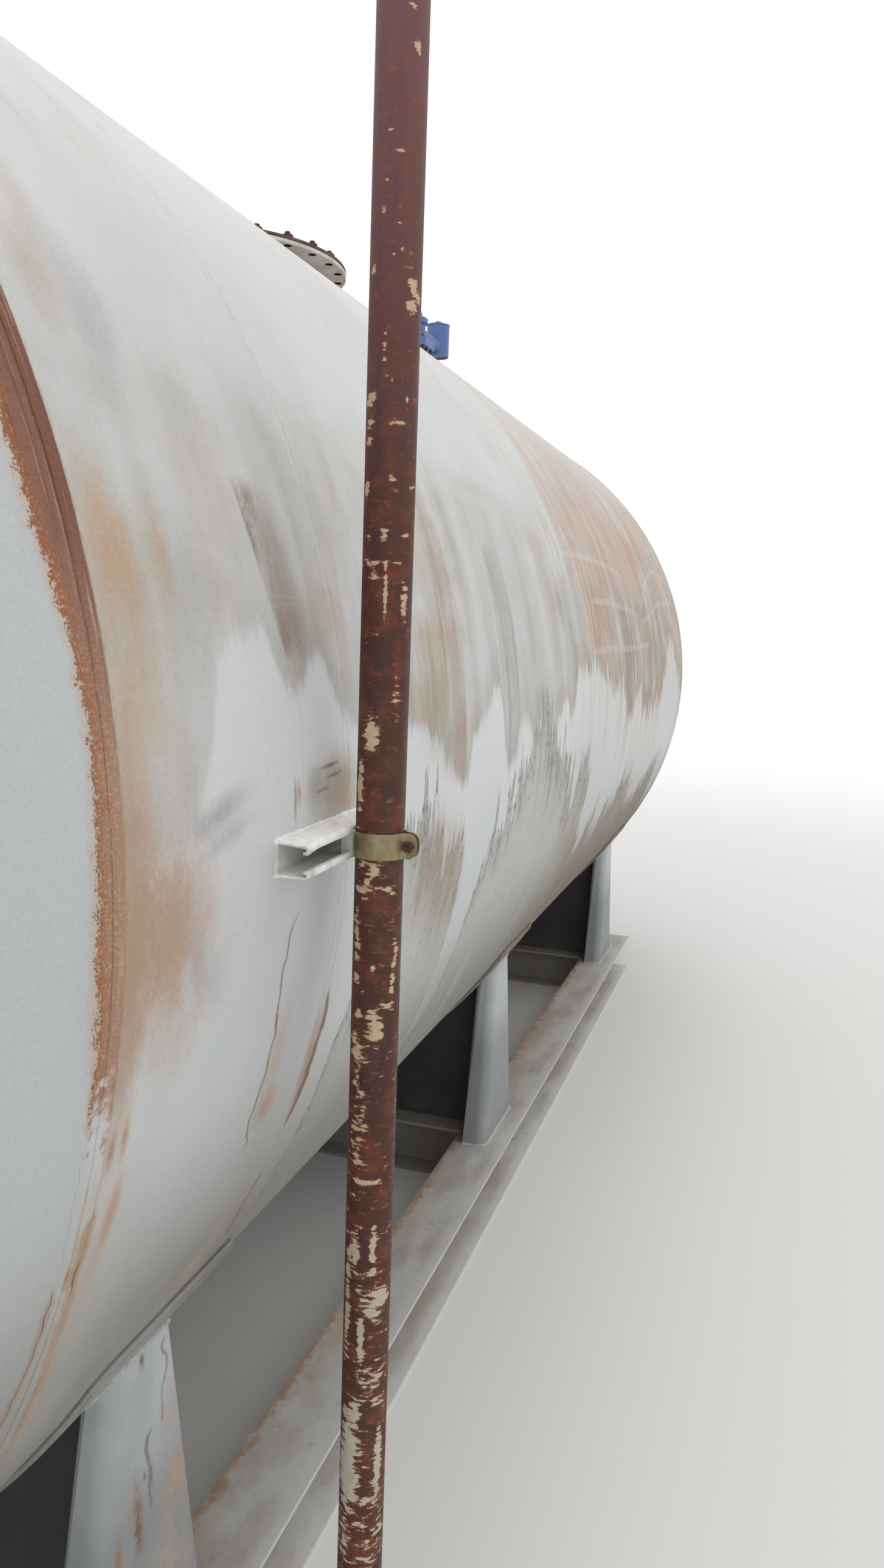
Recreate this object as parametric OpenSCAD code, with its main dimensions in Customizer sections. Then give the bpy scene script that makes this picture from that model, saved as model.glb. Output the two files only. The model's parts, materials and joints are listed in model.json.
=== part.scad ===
// Horizontal pressure tank on a welded skid, millimetres, +Z up.
// The tank axis runs along X. The origin is on the ground, under the middle of the tank.

/* [Tank] */
// Outside diameter of the shell
tank_d = 2438; // [1800:1:2800]
// Wall of the shell and of the heads
shell_t = 9.5; // [6:0.5:20]
// Length of the shell from girth seam to girth seam
shell_len = 4690; // [4400:10:6500]
// Depth of a head beyond its straight flange, outside
head_depth = 610; // [400:5:900]
// Straight flange of a head
head_flange = 25; // [15:1:60]
// Width of a girth weld bead
bead_w = 18; // [10:1:30]
// Height of a girth weld bead
bead_h = 3; // [1.5:0.5:5]
// Gap left at curved seats
seat = 0.3; // [0.2:0.05:0.6]

/* [Skid] */
// Height of the skid beams
skid_h = 157; // [120:1:250]
// Flange width of the skid beams
skid_w = 153; // [120:1:200]
// Flange thickness of the skid beams
skid_tf = 9.3; // [6:0.1:16]
// Web thickness of the skid beams
skid_tw = 6.6; // [5:0.1:12]
// Root fillet of the skid beams
skid_fillet = 8; // [4:1:14]
// Length of the skid beams
skid_len = 4600; // [4350:10:6000]
// Distance between the centre lines of the skid beams
skid_cc = 1942; // [1880:1:1990]
// Clear height between the skid beams and the underside of the shell
skid_gap = 44; // [30:1:120]

/* [Saddles] */
// Distance from one saddle to the next
saddle_pitch = 1930; // [1500:5:2000]
// Thickness of the saddle webs
web_t = 10; // [6:0.5:20]
// Thickness of the wear pads
pad_t = 9.5; // [6:0.5:16]
// Width of the wear pads along the tank
pad_w = 350; // [310:5:500]
// Half of the angle that a wear pad wraps, from straight down
pad_half_angle = 57; // [55:0.5:62]
// Chamfer on the corners of the wear pads
pad_chamfer = 20; // [10:5:60]
// Plate thickness of the saddle posts
post_t = 8; // [5:0.5:14]
// Width of a post at its foot, along the tank
post_w_foot = 318; // [220:1:340]
// Width of a post at the height where it meets the pad
post_w_top = 142; // [120:1:210]
// Outer face of a post at its foot, out from the skid centre line
post_out_foot = 20; // [5:1:60]
// How far the outer face of a post leans in on its way up
post_lean = 6; // [0:1:40]
// Leg depth of a post at its foot
post_leg_foot = 67; // [50:1:90]
// Leg depth of a post at its top
post_leg_top = 42; // [30:1:60]
// Outside radius of the bends of a post
post_bend_r = 30; // [15:1:40]

/* [Manway] */
// Place of the manway along the tank
manway_x = 30; // [-300:5:300]
// Outside diameter of the manway neck
neck_d = 610; // [450:1:660]
// Wall of the manway neck
neck_t = 9.5; // [6:0.5:16]
// Underside of the manway flange above the crown of the shell
neck_rise = 56; // [45:1:200]
// How far the neck reaches below the crown of the shell
neck_drop = 75; // [60:1:150]
// Outside diameter of the manway flange and cover
flange_d = 760; // [755:1:860]
// Thickness of the manway flange
flange_t = 9.5; // [8:0.1:30]
// Bolt circle of the manway
bolt_circle = 718; // [700:0.5:724]
// Number of manway bolts
bolt_n = 24; // [16:1:32]
// Diameter of the manway bolt holes
bolt_hole_d = 22.2; // [16:0.1:28]
// Thickness of the manway gasket
gasket_t = 3; // [1.5:0.5:6]
// Thickness of the manway cover
cover_t = 6.4; // [5:0.1:25]

/* [Relief vent] */
// Place of the vent along the tank
vent_x = 1810; // [1200:5:2000]
// Outside diameter of the vent nozzle
nozzle_d = 88.9; // [60:0.1:110]
// Wall of the vent nozzle
nozzle_t = 5.5; // [3:0.1:8]
// Height of the nozzle flange face above the crown of the shell
nozzle_rise = 257; // [150:1:400]
// Side of the square flanges
vent_flange_w = 145; // [130:1:200]
// Corner radius of the square flanges
vent_flange_r = 14; // [5:1:20]
// Thickness of the nozzle flange
nozzle_flange_t = 16; // [8:1:25]
// Thickness of the flange of the valve body
body_flange_t = 20; // [8:1:25]
// Spacing of the corner bolts on the square flanges
vent_bolt_pitch = 112; // [105:1:115]
// Diameter of the bolt holes in the square flanges
vent_bolt_d = 11; // [8:0.5:13]
// Diameter of the valve body
body_d = 92; // [80:1:98]
// Height of the valve body above its flange
body_h = 68; // [50:1:120]
// Diameter of the domed cap
cap_d = 112; // [100:1:140]
// Height of the straight rim of the cap
cap_rim = 21; // [12:1:40]
// Rise of the dome of the cap
cap_dome = 18; // [8:1:30]
// Diameter of the boss on the cap, at its root
cap_boss_d = 68; // [60:1:90]
// Diameter of the boss on the cap, at its top
cap_boss_top = 50; // [30:1:60]
// Height of the boss above the dome
cap_boss_h = 18; // [10:1:40]
// Distance from the valve body to the hood
hood_reach = 325; // [200:5:360]
// Outside diameter of the hood
hood_d = 106; // [90:1:130]
// Wall of the hood
hood_t = 4; // [2:0.5:8]
// Height of the hood
hood_h = 141; // [120:1:180]
// How far the hood hangs below the middle of the side arm
hood_drop = 41; // [38:1:60]
// Outside diameter of the side arm
arm_d = 60; // [40:1:66]
// Rise of the conical lid of the hood
lid_rise = 12; // [6:1:30]
// Thickness of the edge of the lid
lid_edge = 4; // [2:0.5:8]
// How far the lid stands over the hood
lid_over = 2; // [1:0.5:6]

/* [Standpipe] */
// Place of the standpipe along the tank
pipe_x = -1896; // [-2100:1:-1600]
// Outside diameter of the standpipe
pipe_d = 60.3; // [48:0.1:75]
// Wall of the standpipe
pipe_t = 3.9; // [2.5:0.1:6]
// Height of the standpipe above the ground
pipe_h = 3100; // [2700:10:4000]
// Middle of the strut bracket, below the tank axis
strut_drop = 15; // [-60:1:60]
// Side of the strut section
strut_w = 41.3; // [38:0.1:46]
// Wall of the strut section
strut_t = 2.7; // [2:0.1:3.5]
// Width of the slot of the strut
strut_slot = 22.2; // [18:0.1:24]
// Depth of the turned lips of the strut
strut_lip = 7.2; // [5:0.1:9]
// Length of the strut bracket
strut_len = 285; // [250:1:500]
// Width of the pipe clamp
clamp_w = 31.8; // [25:0.1:38]
// Thickness of the pipe clamp
clamp_t = 2.8; // [2:0.1:4]
// Gap between the two ears of the pipe clamp
clamp_gap = 9; // [6:0.5:14]
// How far the ears stand out in front of the pipe
clamp_ear = 19; // [17:1:36]
// Radius of the two corners at the end of an ear
clamp_round = 11; // [4:0.5:12]
// Diameter of the bolt hole in the ears
clamp_hole = 9; // [6:0.5:11]

/* [Hidden] */
R = tank_d / 2;
axis_h = skid_h + skid_gap + R;
half_len = shell_len / 2;
skid_y = skid_cc / 2;
pad_in = R + seat;
pad_out = pad_in + pad_t;
web_cut = pad_out + seat;
saddle_at = [-saddle_pitch, 0, saddle_pitch];
flange_z = axis_h + R + neck_rise;
gasket_z = flange_z + flange_t;
cover_z = gasket_z + gasket_t;
nozzle_top = axis_h + R + nozzle_rise;
body_z = nozzle_top + body_flange_t;
body_top = body_z + body_h;
arm_z = body_z + body_h / 2 + 4;
hood_x = vent_x + hood_reach;
hood_z = arm_z - hood_drop;
strut_z = axis_h - strut_drop;
strut_back = R + seat;
pipe_y = -(strut_back + strut_w + seat + pipe_d / 2);
post_out_y = skid_y + post_out_foot;
post_in_y = post_out_y - post_lean;
meet_z = axis_h - sqrt(web_cut * web_cut - post_in_y * post_in_y);
post_top_z = meet_z + 60;
$fn = 96;

// Quarter ellipse from the rim to the pole, as points of radius and height.
function quarter(a, b, n) = [for (i = [0:n]) [a * cos(90 * i / n), b * sin(90 * i / n)]];

// The same quarter taken from the pole back to the rim.
function quarter_back(a, b, n) = [for (i = [n:-1:0]) [a * cos(90 * i / n), b * sin(90 * i / n)]];

// Moves a list of points along the second axis.
function lifted(pts, d) = [for (p = pts) [p[0], p[1] + d]];

// Turns a body of revolution so that its axis lies along the tank, at the axis height.
module along_tank(x) {
    translate([x, 0, axis_h])
        rotate([0, 90, 0])
            children();
}

module shell() {
    color("gainsboro")
        difference() {
            along_tank(-half_len)
                cylinder(r = R, h = shell_len, $fn = 180);
            along_tank(-half_len - 1)
                cylinder(r = R - shell_t, h = shell_len + 2, $fn = 180);
            translate([manway_x, 0, axis_h])
                cylinder(d = neck_d + 2 * seat, h = R + 100);
            translate([vent_x, 0, axis_h])
                cylinder(d = nozzle_d + 2 * seat, h = R + 100);
        }
}

// Two to one ellipsoidal head with its straight flange, the pole towards +Z.
module head_profile() {
    steps = 36;
    inner_a = R - shell_t;
    inner_b = head_depth - shell_t;
    polygon(concat([[R, 0]],
                   lifted(quarter(R, head_depth, steps), head_flange),
                   lifted(quarter_back(inner_a, inner_b, steps), head_flange),
                   [[inner_a, 0]]));
}

module head() {
    rotate_extrude($fn = 180)
        head_profile();
}

module head_near() {
    color("gainsboro")
        translate([-half_len, 0, axis_h])
            rotate([0, -90, 0])
                head();
}

module head_far() {
    color("gainsboro")
        along_tank(half_len)
            head();
}

// Low round-topped bead that sits on the shell.
module bead() {
    rise = (bead_w * bead_w / 4 + bead_h * bead_h) / (2 * bead_h);
    rotate_extrude($fn = 180)
        intersection() {
            translate([R + seat + bead_h - rise, 0])
                circle(r = rise);
            translate([R + seat, -bead_w])
                square([bead_h * 2, bead_w * 2]);
        }
}

module girth_welds() {
    color("sienna")
        for (side = [-1, 1])
            along_tank(side * half_len)
                bead();
}

// Outline of a wear pad seen from the side, before it is bent: the arc is cut from a ring
// by a wedge, and the corners are taken off by four sloping cuts.
module wear_pad(i) {
    x = saddle_at[i];
    reach = 2 * R;
    edge_y = pad_out * sin(pad_half_angle);
    edge_z = -pad_out * cos(pad_half_angle);
    translate([x, 0, axis_h])
        difference() {
            intersection() {
                rotate([0, 90, 0])
                    difference() {
                        cylinder(r = pad_out, h = pad_w, center = true, $fn = 180);
                        cylinder(r = pad_in, h = pad_w + 2, center = true, $fn = 180);
                    }
                rotate([90, 0, 90])
                    linear_extrude(height = pad_w + 2, center = true)
                        polygon([[0, 0],
                                 [reach * sin(pad_half_angle), -reach * cos(pad_half_angle)],
                                 [0, -reach * 2],
                                 [-reach * sin(pad_half_angle), -reach * cos(pad_half_angle)]]);
            }
            for (side = [-1, 1])
                for (end = [-1, 1])
                    translate([end * pad_w / 2, side * edge_y, edge_z])
                        rotate([side * (90 - pad_half_angle), 0, 0])
                            rotate([0, 0, 45])
                                cube([pad_chamfer * sqrt(2), pad_chamfer * sqrt(2), 6 * pad_t],
                                     center = true);
        }
}

module wear_pad_1() {
    color("gainsboro")
        wear_pad(0);
}

module wear_pad_2() {
    color("gainsboro")
        wear_pad(1);
}

module wear_pad_3() {
    color("gainsboro")
        wear_pad(2);
}

// Place of the outer face of a post at height z.
function post_face(z) = post_out_y - post_lean * (z - skid_h) / (meet_z - skid_h);

// Plate across the tank, cut to the wear pad and butted between the two posts.
module saddle_web(i) {
    top = post_top_z;
    low_y = post_face(skid_h) - post_t - seat;
    top_y = post_face(top) - post_t - seat;
    translate([saddle_at[i], 0, 0])
        difference() {
            rotate([90, 0, 90])
                linear_extrude(height = web_t, center = true)
                    polygon([[-low_y, skid_h], [low_y, skid_h], [top_y, top], [-top_y, top]]);
            translate([0, 0, axis_h])
                rotate([0, 90, 0])
                    cylinder(r = web_cut, h = web_t * 4, center = true, $fn = 180);
        }
}

module saddle_web_1() {
    color("dimgray")
        saddle_web(0);
}

module saddle_web_2() {
    color("dimgray")
        saddle_web(1);
}

module saddle_web_3() {
    color("dimgray")
        saddle_web(2);
}

// Thin slice of a post: a rectangle with two rounded outer corners, open or full depth.
module post_slice(width, face, leg, inset, z) {
    r = post_bend_r - inset;
    w = width / 2 - inset;
    translate([0, 0, z]) {
        for (end = [-1, 1])
            translate([end * (w - r), face - inset - r, 0])
                cylinder(r = r, h = 0.01, $fn = 48);
        translate([-w, face - leg, 0])
            cube([2 * w, 1, 0.01]);
    }
}

// Flared post, full outside form or the hollow inside it.
module post_form(inset, extra) {
    z1 = post_top_z;
    grow = (post_w_foot - post_w_top) / (meet_z - skid_h);
    leg_grow = (post_leg_foot - post_leg_top) / (meet_z - skid_h);
    hull() {
        post_slice(post_w_foot + grow * extra, post_face(skid_h - extra),
                   post_leg_foot + extra * (leg_grow + 1), inset, skid_h - extra);
        post_slice(post_w_foot - grow * (z1 - skid_h), post_face(z1),
                   post_leg_foot - leg_grow * (z1 - skid_h) + extra, inset, z1 + extra);
    }
}

module post() {
    difference() {
        post_form(0, 0);
        post_form(post_t, 2);
    }
}

module saddle_posts(i) {
    difference() {
        for (side = [0, 1])
            translate([saddle_at[i], 0, 0])
                mirror([0, side, 0])
                    post();
        translate([saddle_at[i], 0, axis_h])
            rotate([0, 90, 0])
                cylinder(r = web_cut, h = post_w_foot * 2, center = true, $fn = 180);
    }
}

module saddle_posts_1() {
    color("gainsboro")
        saddle_posts(0);
}

module saddle_posts_2() {
    color("gainsboro")
        saddle_posts(1);
}

module saddle_posts_3() {
    color("gainsboro")
        saddle_posts(2);
}

// Wide-flange section with root fillets, standing on the first axis.
module beam_section() {
    difference() {
        translate([-skid_w / 2, 0])
            square([skid_w, skid_h]);
        for (side = [-1, 1])
            difference() {
                translate([side > 0 ? skid_tw / 2 : -skid_w, skid_tf])
                    square([skid_w - (side > 0 ? 0 : skid_tw / 2), skid_h - 2 * skid_tf]);
                for (end = [0, 1])
                    translate([side * skid_tw / 2, end > 0 ? skid_h - skid_tf : skid_tf])
                        root_fillet(side, end > 0 ? -1 : 1);
            }
    }
}

module root_fillet(dx, dz) {
    difference() {
        translate([dx > 0 ? 0 : -skid_fillet, dz > 0 ? 0 : -skid_fillet])
            square(skid_fillet);
        translate([dx * skid_fillet, dz * skid_fillet])
            circle(r = skid_fillet, $fn = 32);
    }
}

module skid_beam(side) {
    translate([-skid_len / 2, side * skid_y, 0])
        rotate([90, 0, 90])
            linear_extrude(height = skid_len)
                beam_section();
}

module skid_beam_right() {
    color("silver")
        skid_beam(-1);
}

module skid_beam_left() {
    color("silver")
        skid_beam(1);
}

// Cross beam of the same section, coped at its ends to meet the skid webs.
module cross_beam(i) {
    clear_y = skid_y - skid_w / 2;
    web_y = skid_y - skid_tw / 2;
    cope = skid_fillet + 2;
    translate([saddle_at[i], 0, 0]) {
        intersection() {
            rotate([90, 0, 0])
                linear_extrude(height = 2 * web_y, center = true)
                    beam_section();
            union() {
                translate([-skid_w, -clear_y, -1])
                    cube([2 * skid_w, 2 * clear_y, skid_h + 2]);
                translate([-skid_tw / 2, -web_y, skid_tf + cope])
                    cube([skid_tw, 2 * web_y, skid_h - 2 * skid_tf - 2 * cope]);
            }
        }
    }
}

module cross_beam_1() {
    color("silver")
        cross_beam(0);
}

module cross_beam_2() {
    color("silver")
        cross_beam(1);
}

module cross_beam_3() {
    color("silver")
        cross_beam(2);
}

module manway_neck() {
    color("gainsboro")
        difference() {
            translate([manway_x, 0, axis_h + R - neck_drop])
                cylinder(d = neck_d, h = neck_drop + neck_rise + flange_t - 4);
            translate([manway_x, 0, axis_h])
                cylinder(d = neck_d - 2 * neck_t, h = 2 * R);
        }
}

module bolt_holes(z, h) {
    for (k = [0:bolt_n - 1])
        rotate([0, 0, k * 360 / bolt_n])
            translate([bolt_circle / 2, 0, z - 1])
                cylinder(d = bolt_hole_d, h = h + 2, $fn = 32);
}

module manway_ring(z, h) {
    translate([manway_x, 0, 0])
        difference() {
            translate([0, 0, z])
                cylinder(d = flange_d, h = h);
            translate([0, 0, z - 1])
                cylinder(d = neck_d + 2 * seat, h = h + 2);
            bolt_holes(z, h);
        }
}

module manway_flange() {
    color("gainsboro")
        manway_ring(flange_z, flange_t);
}

module manway_gasket() {
    color("dimgray")
        manway_ring(gasket_z, gasket_t);
}

module manway_cover() {
    color("sienna")
        translate([manway_x, 0, 0])
            difference() {
                translate([0, 0, cover_z])
                    cylinder(d = flange_d, h = cover_t);
                bolt_holes(cover_z, cover_t);
            }
}

module vent_nozzle() {
    color("gainsboro")
        translate([vent_x, 0, axis_h + R - 30])
            difference() {
                cylinder(d = nozzle_d, h = nozzle_rise + 30 - 3);
                translate([0, 0, -1])
                    cylinder(d = nozzle_d - 2 * nozzle_t, h = nozzle_rise + 32);
            }
}

// Square plate with round corners and eight bolt holes.
module square_flange(h, bore) {
    s = vent_flange_w / 2 - vent_flange_r;
    difference() {
        union() {
            translate([-vent_flange_w / 2, -s, 0])
                cube([vent_flange_w, 2 * s, h]);
            translate([-s, -vent_flange_w / 2, 0])
                cube([2 * s, vent_flange_w, h]);
            for (x = [-s, s])
                for (y = [-s, s])
                    translate([x, y, 0])
                        cylinder(r = vent_flange_r, h = h, $fn = 32);
        }
        translate([0, 0, -1])
            cylinder(d = bore, h = h + 2);
        for (x = [-1, 0, 1])
            for (y = [-1, 0, 1])
                if (abs(x) + abs(y) > 0)
                    translate([x * vent_bolt_pitch / 2, y * vent_bolt_pitch / 2, -1])
                        cylinder(d = vent_bolt_d, h = h + 2, $fn = 24);
    }
}

module vent_nozzle_flange() {
    color("steelblue")
        translate([vent_x, 0, nozzle_top - nozzle_flange_t])
            square_flange(nozzle_flange_t, nozzle_d + 2 * seat);
}

// Valve body: square flange, round chamber and a side arm that ends inside the hood.
module vent_body() {
    bore = nozzle_d - 2 * nozzle_t;
    color("steelblue")
        difference() {
            union() {
                translate([vent_x, 0, nozzle_top])
                    square_flange(body_flange_t, bore);
                translate([vent_x, 0, body_z - 1])
                    cylinder(d = body_d, h = body_h + 1);
                translate([vent_x, 0, arm_z])
                    rotate([0, 90, 0])
                        cylinder(d = arm_d, h = hood_reach - hood_d / 2 - seat);
            }
            translate([vent_x, 0, nozzle_top - 1])
                cylinder(d = bore, h = body_flange_t + body_h - 4);
            translate([vent_x, 0, arm_z])
                rotate([0, 90, 0])
                    cylinder(d = arm_d - 12, h = hood_reach);
            translate([hood_x, 0, hood_z - 1])
                cylinder(d = hood_d + 2 * seat, h = hood_h + 2);
        }
}

module vent_cap() {
    ball = (cap_d * cap_d / 4 + cap_dome * cap_dome) / (2 * cap_dome);
    color("steelblue")
        translate([vent_x, 0, body_top])
            union() {
                cylinder(d = cap_d, h = cap_rim);
                intersection() {
                    translate([0, 0, cap_rim + cap_dome - ball])
                        sphere(r = ball, $fn = 120);
                    translate([0, 0, cap_rim - 1])
                        cylinder(d = cap_d, h = cap_dome + 10);
                }
                translate([0, 0, cap_rim + cap_dome - 8])
                    cylinder(d1 = cap_boss_d, d2 = cap_boss_top, h = cap_boss_h + 8);
            }
}

module vent_hood() {
    color("steelblue")
        difference() {
            translate([hood_x, 0, hood_z])
                cylinder(d = hood_d, h = hood_h);
            translate([hood_x, 0, hood_z - 1])
                cylinder(d = hood_d - 2 * hood_t, h = hood_h + 2);
            translate([vent_x, 0, arm_z])
                rotate([0, 90, 0])
                    cylinder(d = arm_d - 12, h = hood_reach);
        }
}

module vent_lid() {
    color("steelblue")
        translate([hood_x, 0, hood_z + hood_h])
            union() {
                cylinder(r = hood_d / 2 + lid_over, h = lid_edge);
                translate([0, 0, lid_edge])
                    cylinder(r1 = hood_d / 2 + lid_over, r2 = 14, h = lid_rise);
                translate([0, 0, lid_edge])
                    cylinder(r = 14, h = lid_rise + 4);
            }
}

// Perforated disc in the mouth of the hood.
module vent_screen() {
    holes = 3;
    color("gray")
        translate([hood_x, 0, hood_z + 6])
            difference() {
                cylinder(d = hood_d - 2 * hood_t - 2 * seat, h = 2);
                for (ring = [1:holes])
                    for (k = [1:6 * ring])
                        rotate([0, 0, k * 60 / ring])
                            translate([ring * 13, 0, -1])
                                cylinder(d = 9, h = 4, $fn = 24);
            }
}

// Strut section with its back on the first axis, open towards +Y of the sketch.
module strut_section() {
    w = strut_w / 2;
    difference() {
        translate([-w, 0])
            square([strut_w, strut_w]);
        translate([-w + strut_t, strut_t])
            square([strut_w - 2 * strut_t, strut_w - 2 * strut_t]);
        translate([-strut_slot / 2, strut_t])
            square([strut_slot, strut_w]);
    }
    for (side = [-1, 1])
        translate([side > 0 ? strut_slot / 2 : -strut_slot / 2 - strut_t, strut_w - strut_lip])
            square([strut_t, strut_lip]);
}

module strut_bracket() {
    color("silver")
        translate([pipe_x, -strut_back, strut_z])
            rotate([90, 0, 90])
                linear_extrude(height = strut_len, center = true)
                    rotate([0, 0, 90])
                        strut_section();
}

module standpipe() {
    color("sienna")
        translate([pipe_x, pipe_y, 0])
            difference() {
                cylinder(d = pipe_d, h = pipe_h);
                translate([0, 0, -1])
                    cylinder(d = pipe_d - 2 * pipe_t, h = pipe_h + 2);
            }
}

// Outline of an ear of the clamp: square at the pipe, round at the two free corners.
module ear_outline() {
    translate([clamp_round, 0])
        square([clamp_ear + 0.6 - clamp_round, clamp_w]);
    translate([0, clamp_round])
        square([clamp_round + 1, clamp_w - 2 * clamp_round]);
    for (z = [clamp_round, clamp_w - clamp_round])
        translate([clamp_round, z])
            circle(r = clamp_round, $fn = 48);
}

// Half of the pipe clamp: an arc round the pipe, an ear in front, and a narrow neck through
// the slot with a wide end that bears on the turned lips of the strut.
module clamp_half(side) {
    r1 = pipe_d / 2 + seat;
    r2 = r1 + clamp_t;
    neck_x = 8;
    neck_w = strut_slot - 2 * seat;
    root_y = sqrt(r1 * r1 - neck_x * neck_x) + 0.1;
    bearing_y = r1 + strut_lip + seat;
    translate([pipe_x, pipe_y, strut_z - clamp_w / 2])
        mirror([side > 0 ? 0 : 1, 0, 0])
            difference() {
                union() {
                    linear_extrude(height = clamp_w)
                        difference() {
                            circle(r = r2);
                            circle(r = r1);
                            translate([clamp_gap / 2 - 2 * r2, -r2 - 1])
                                square([2 * r2, 2 * r2 + 2]);
                            translate([-1, 0])
                                square([neck_x + 1, r2 + 1]);
                            translate([0, pipe_d / 2])
                                square([r2, r2]);
                        }
                    translate([clamp_gap / 2, -r1 - clamp_ear, 0])
                        rotate([90, 0, 90])
                            linear_extrude(height = clamp_t)
                                ear_outline();
                    translate([neck_x, root_y, (clamp_w - neck_w) / 2])
                        cube([clamp_t, bearing_y - root_y + 1, neck_w]);
                    translate([neck_x, bearing_y, 0])
                        cube([clamp_t, 3 * clamp_t, clamp_w]);
                }
                translate([-1, -r1 - clamp_ear / 2, clamp_w / 2])
                    rotate([0, 90, 0])
                        cylinder(d = clamp_hole, h = pipe_d, $fn = 32);
            }
}

module clamp_rear() {
    color("darkkhaki")
        clamp_half(-1);
}

module clamp_front() {
    color("darkkhaki")
        clamp_half(1);
}

shell();
head_near();
head_far();
girth_welds();
wear_pad_1();
wear_pad_2();
wear_pad_3();
saddle_web_1();
saddle_web_2();
saddle_web_3();
saddle_posts_1();
saddle_posts_2();
saddle_posts_3();
skid_beam_right();
skid_beam_left();
cross_beam_1();
cross_beam_2();
cross_beam_3();
manway_neck();
manway_flange();
manway_gasket();
manway_cover();
vent_nozzle();
vent_nozzle_flange();
vent_body();
vent_cap();
vent_hood();
vent_lid();
vent_screen();
strut_bracket();
standpipe();
clamp_rear();
clamp_front();
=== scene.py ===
"""Looks of a horizontal pressure tank on a welded skid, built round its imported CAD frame.

Everything is in metres in the CAD frame: the tank axis runs along X, the photographed side
is -Y, and the ground is z = 0. New pieces are surfaces computed with numpy.
"""
import json
import math

import bpy
import numpy as np
from mathutils import Matrix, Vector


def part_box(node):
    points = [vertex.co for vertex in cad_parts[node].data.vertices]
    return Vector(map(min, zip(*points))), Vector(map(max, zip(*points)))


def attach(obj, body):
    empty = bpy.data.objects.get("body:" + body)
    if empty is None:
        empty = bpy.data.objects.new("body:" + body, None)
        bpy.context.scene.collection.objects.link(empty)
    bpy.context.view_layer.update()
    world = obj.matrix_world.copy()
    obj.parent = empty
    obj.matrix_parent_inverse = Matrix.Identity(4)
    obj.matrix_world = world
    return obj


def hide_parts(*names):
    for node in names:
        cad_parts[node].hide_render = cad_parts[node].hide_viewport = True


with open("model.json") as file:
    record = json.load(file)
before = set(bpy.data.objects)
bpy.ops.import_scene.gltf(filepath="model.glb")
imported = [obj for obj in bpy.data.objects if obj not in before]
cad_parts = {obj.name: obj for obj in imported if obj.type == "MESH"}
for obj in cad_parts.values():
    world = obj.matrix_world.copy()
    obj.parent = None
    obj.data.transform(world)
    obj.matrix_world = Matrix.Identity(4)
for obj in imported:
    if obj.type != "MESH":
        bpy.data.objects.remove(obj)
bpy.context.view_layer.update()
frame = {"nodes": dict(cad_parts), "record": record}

bl_info = {
    "name": "Horizontal Pressure Tank",
    "version": (1, 0, 0),
    "blender": (4, 5, 0),
    "location": "View3D > Sidebar > Tank",
    "description": "Welds, bolts, weathered paint and a plain stage for the tank",
    "category": "Add Mesh",
}

MM = 0.001
SHELL_LOW, SHELL_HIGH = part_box("shell")
TANK_R = (SHELL_HIGH[2] - SHELL_LOW[2]) / 2
AXIS_Z = (SHELL_HIGH[2] + SHELL_LOW[2]) / 2
SEAM_X = SHELL_HIGH[0]
ARC_PER_DEGREE = TANK_R * math.pi / 180  # metres of shell
SADDLE_X = [sum(c[0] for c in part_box(f"saddle_web_{i}")) / 2 for i in (1, 2, 3)]
CAMERA_SIDE = math.radians(200.56)  # direction from the standpipe to the camera
WELD_GAP = 0.3 * MM  # left between welded parts in the CAD model, closed here by the beads
STRUT_WALL = 2.9 * MM
COLOUR = {"out": 2, "data_type": "RGBA"}  # for a mix of two colours
SOFT = {"interpolation_type": "SMOOTHSTEP"}  # for a range that starts and ends gently


# ---------------------------------------------------------------- numpy surfaces

def skin(rows, columns, close_rows=False, close_columns=False):
    """Quads of a grid of rows x columns points, wrapped round where a direction closes."""
    index = np.arange(rows * columns).reshape(rows, columns)
    if close_rows:
        index = np.vstack([index, index[:1]])
    if close_columns:
        index = np.hstack([index, index[:, :1]])
    quads = [index[:-1, :-1], index[1:, :-1], index[1:, 1:], index[:-1, 1:]]
    return np.stack(quads, -1).reshape(-1, 4)


def carried(path, across, up, outline, closed=False):
    """A closed outline carried along a path: point = path + across * a + up * b, where (a, b)
    runs round the outline. An open path gets a flat cap at each end."""
    outline = np.broadcast_to(outline, (len(path),) + np.shape(outline)[-2:])
    points = path[:, None] + across[:, None] * outline[..., :1] + up[:, None] * outline[..., 1:]
    rows, columns = points.shape[:2]
    faces = [skin(rows, columns, closed, True)]
    if not closed:
        ring = np.arange(columns)
        faces += [ring[None], ((rows - 1) * columns + ring[::-1])[None]]
    return points.reshape(-1, 3), faces


def turned(radius, height):
    """A body of rings: radius is rows x angles, height one value a row; the point at angle t
    is (r cos t, r sin t, h). Both ends are closed by a fan round a point on the axis."""
    rows, count = radius.shape
    t = np.linspace(0, 2 * math.pi, count, endpoint=False)
    height = np.broadcast_to(np.reshape(height, (rows, -1)), radius.shape)
    rings = np.stack([radius * np.cos(t), radius * np.sin(t), height], -1).reshape(-1, 3)
    poles = np.array([[0, 0, height[0].mean()], [0, 0, height[-1].mean()]])
    ring = np.arange(count)
    low = np.stack([np.full(count, rows * count), ring, np.roll(ring, -1)], -1)
    top = (rows - 1) * count + ring
    high = np.stack([np.full(count, rows * count + 1), np.roll(top, -1), top], -1)
    faces = [skin(rows, count, False, True), low, high]
    return np.vstack([rings, poles]), faces


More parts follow.
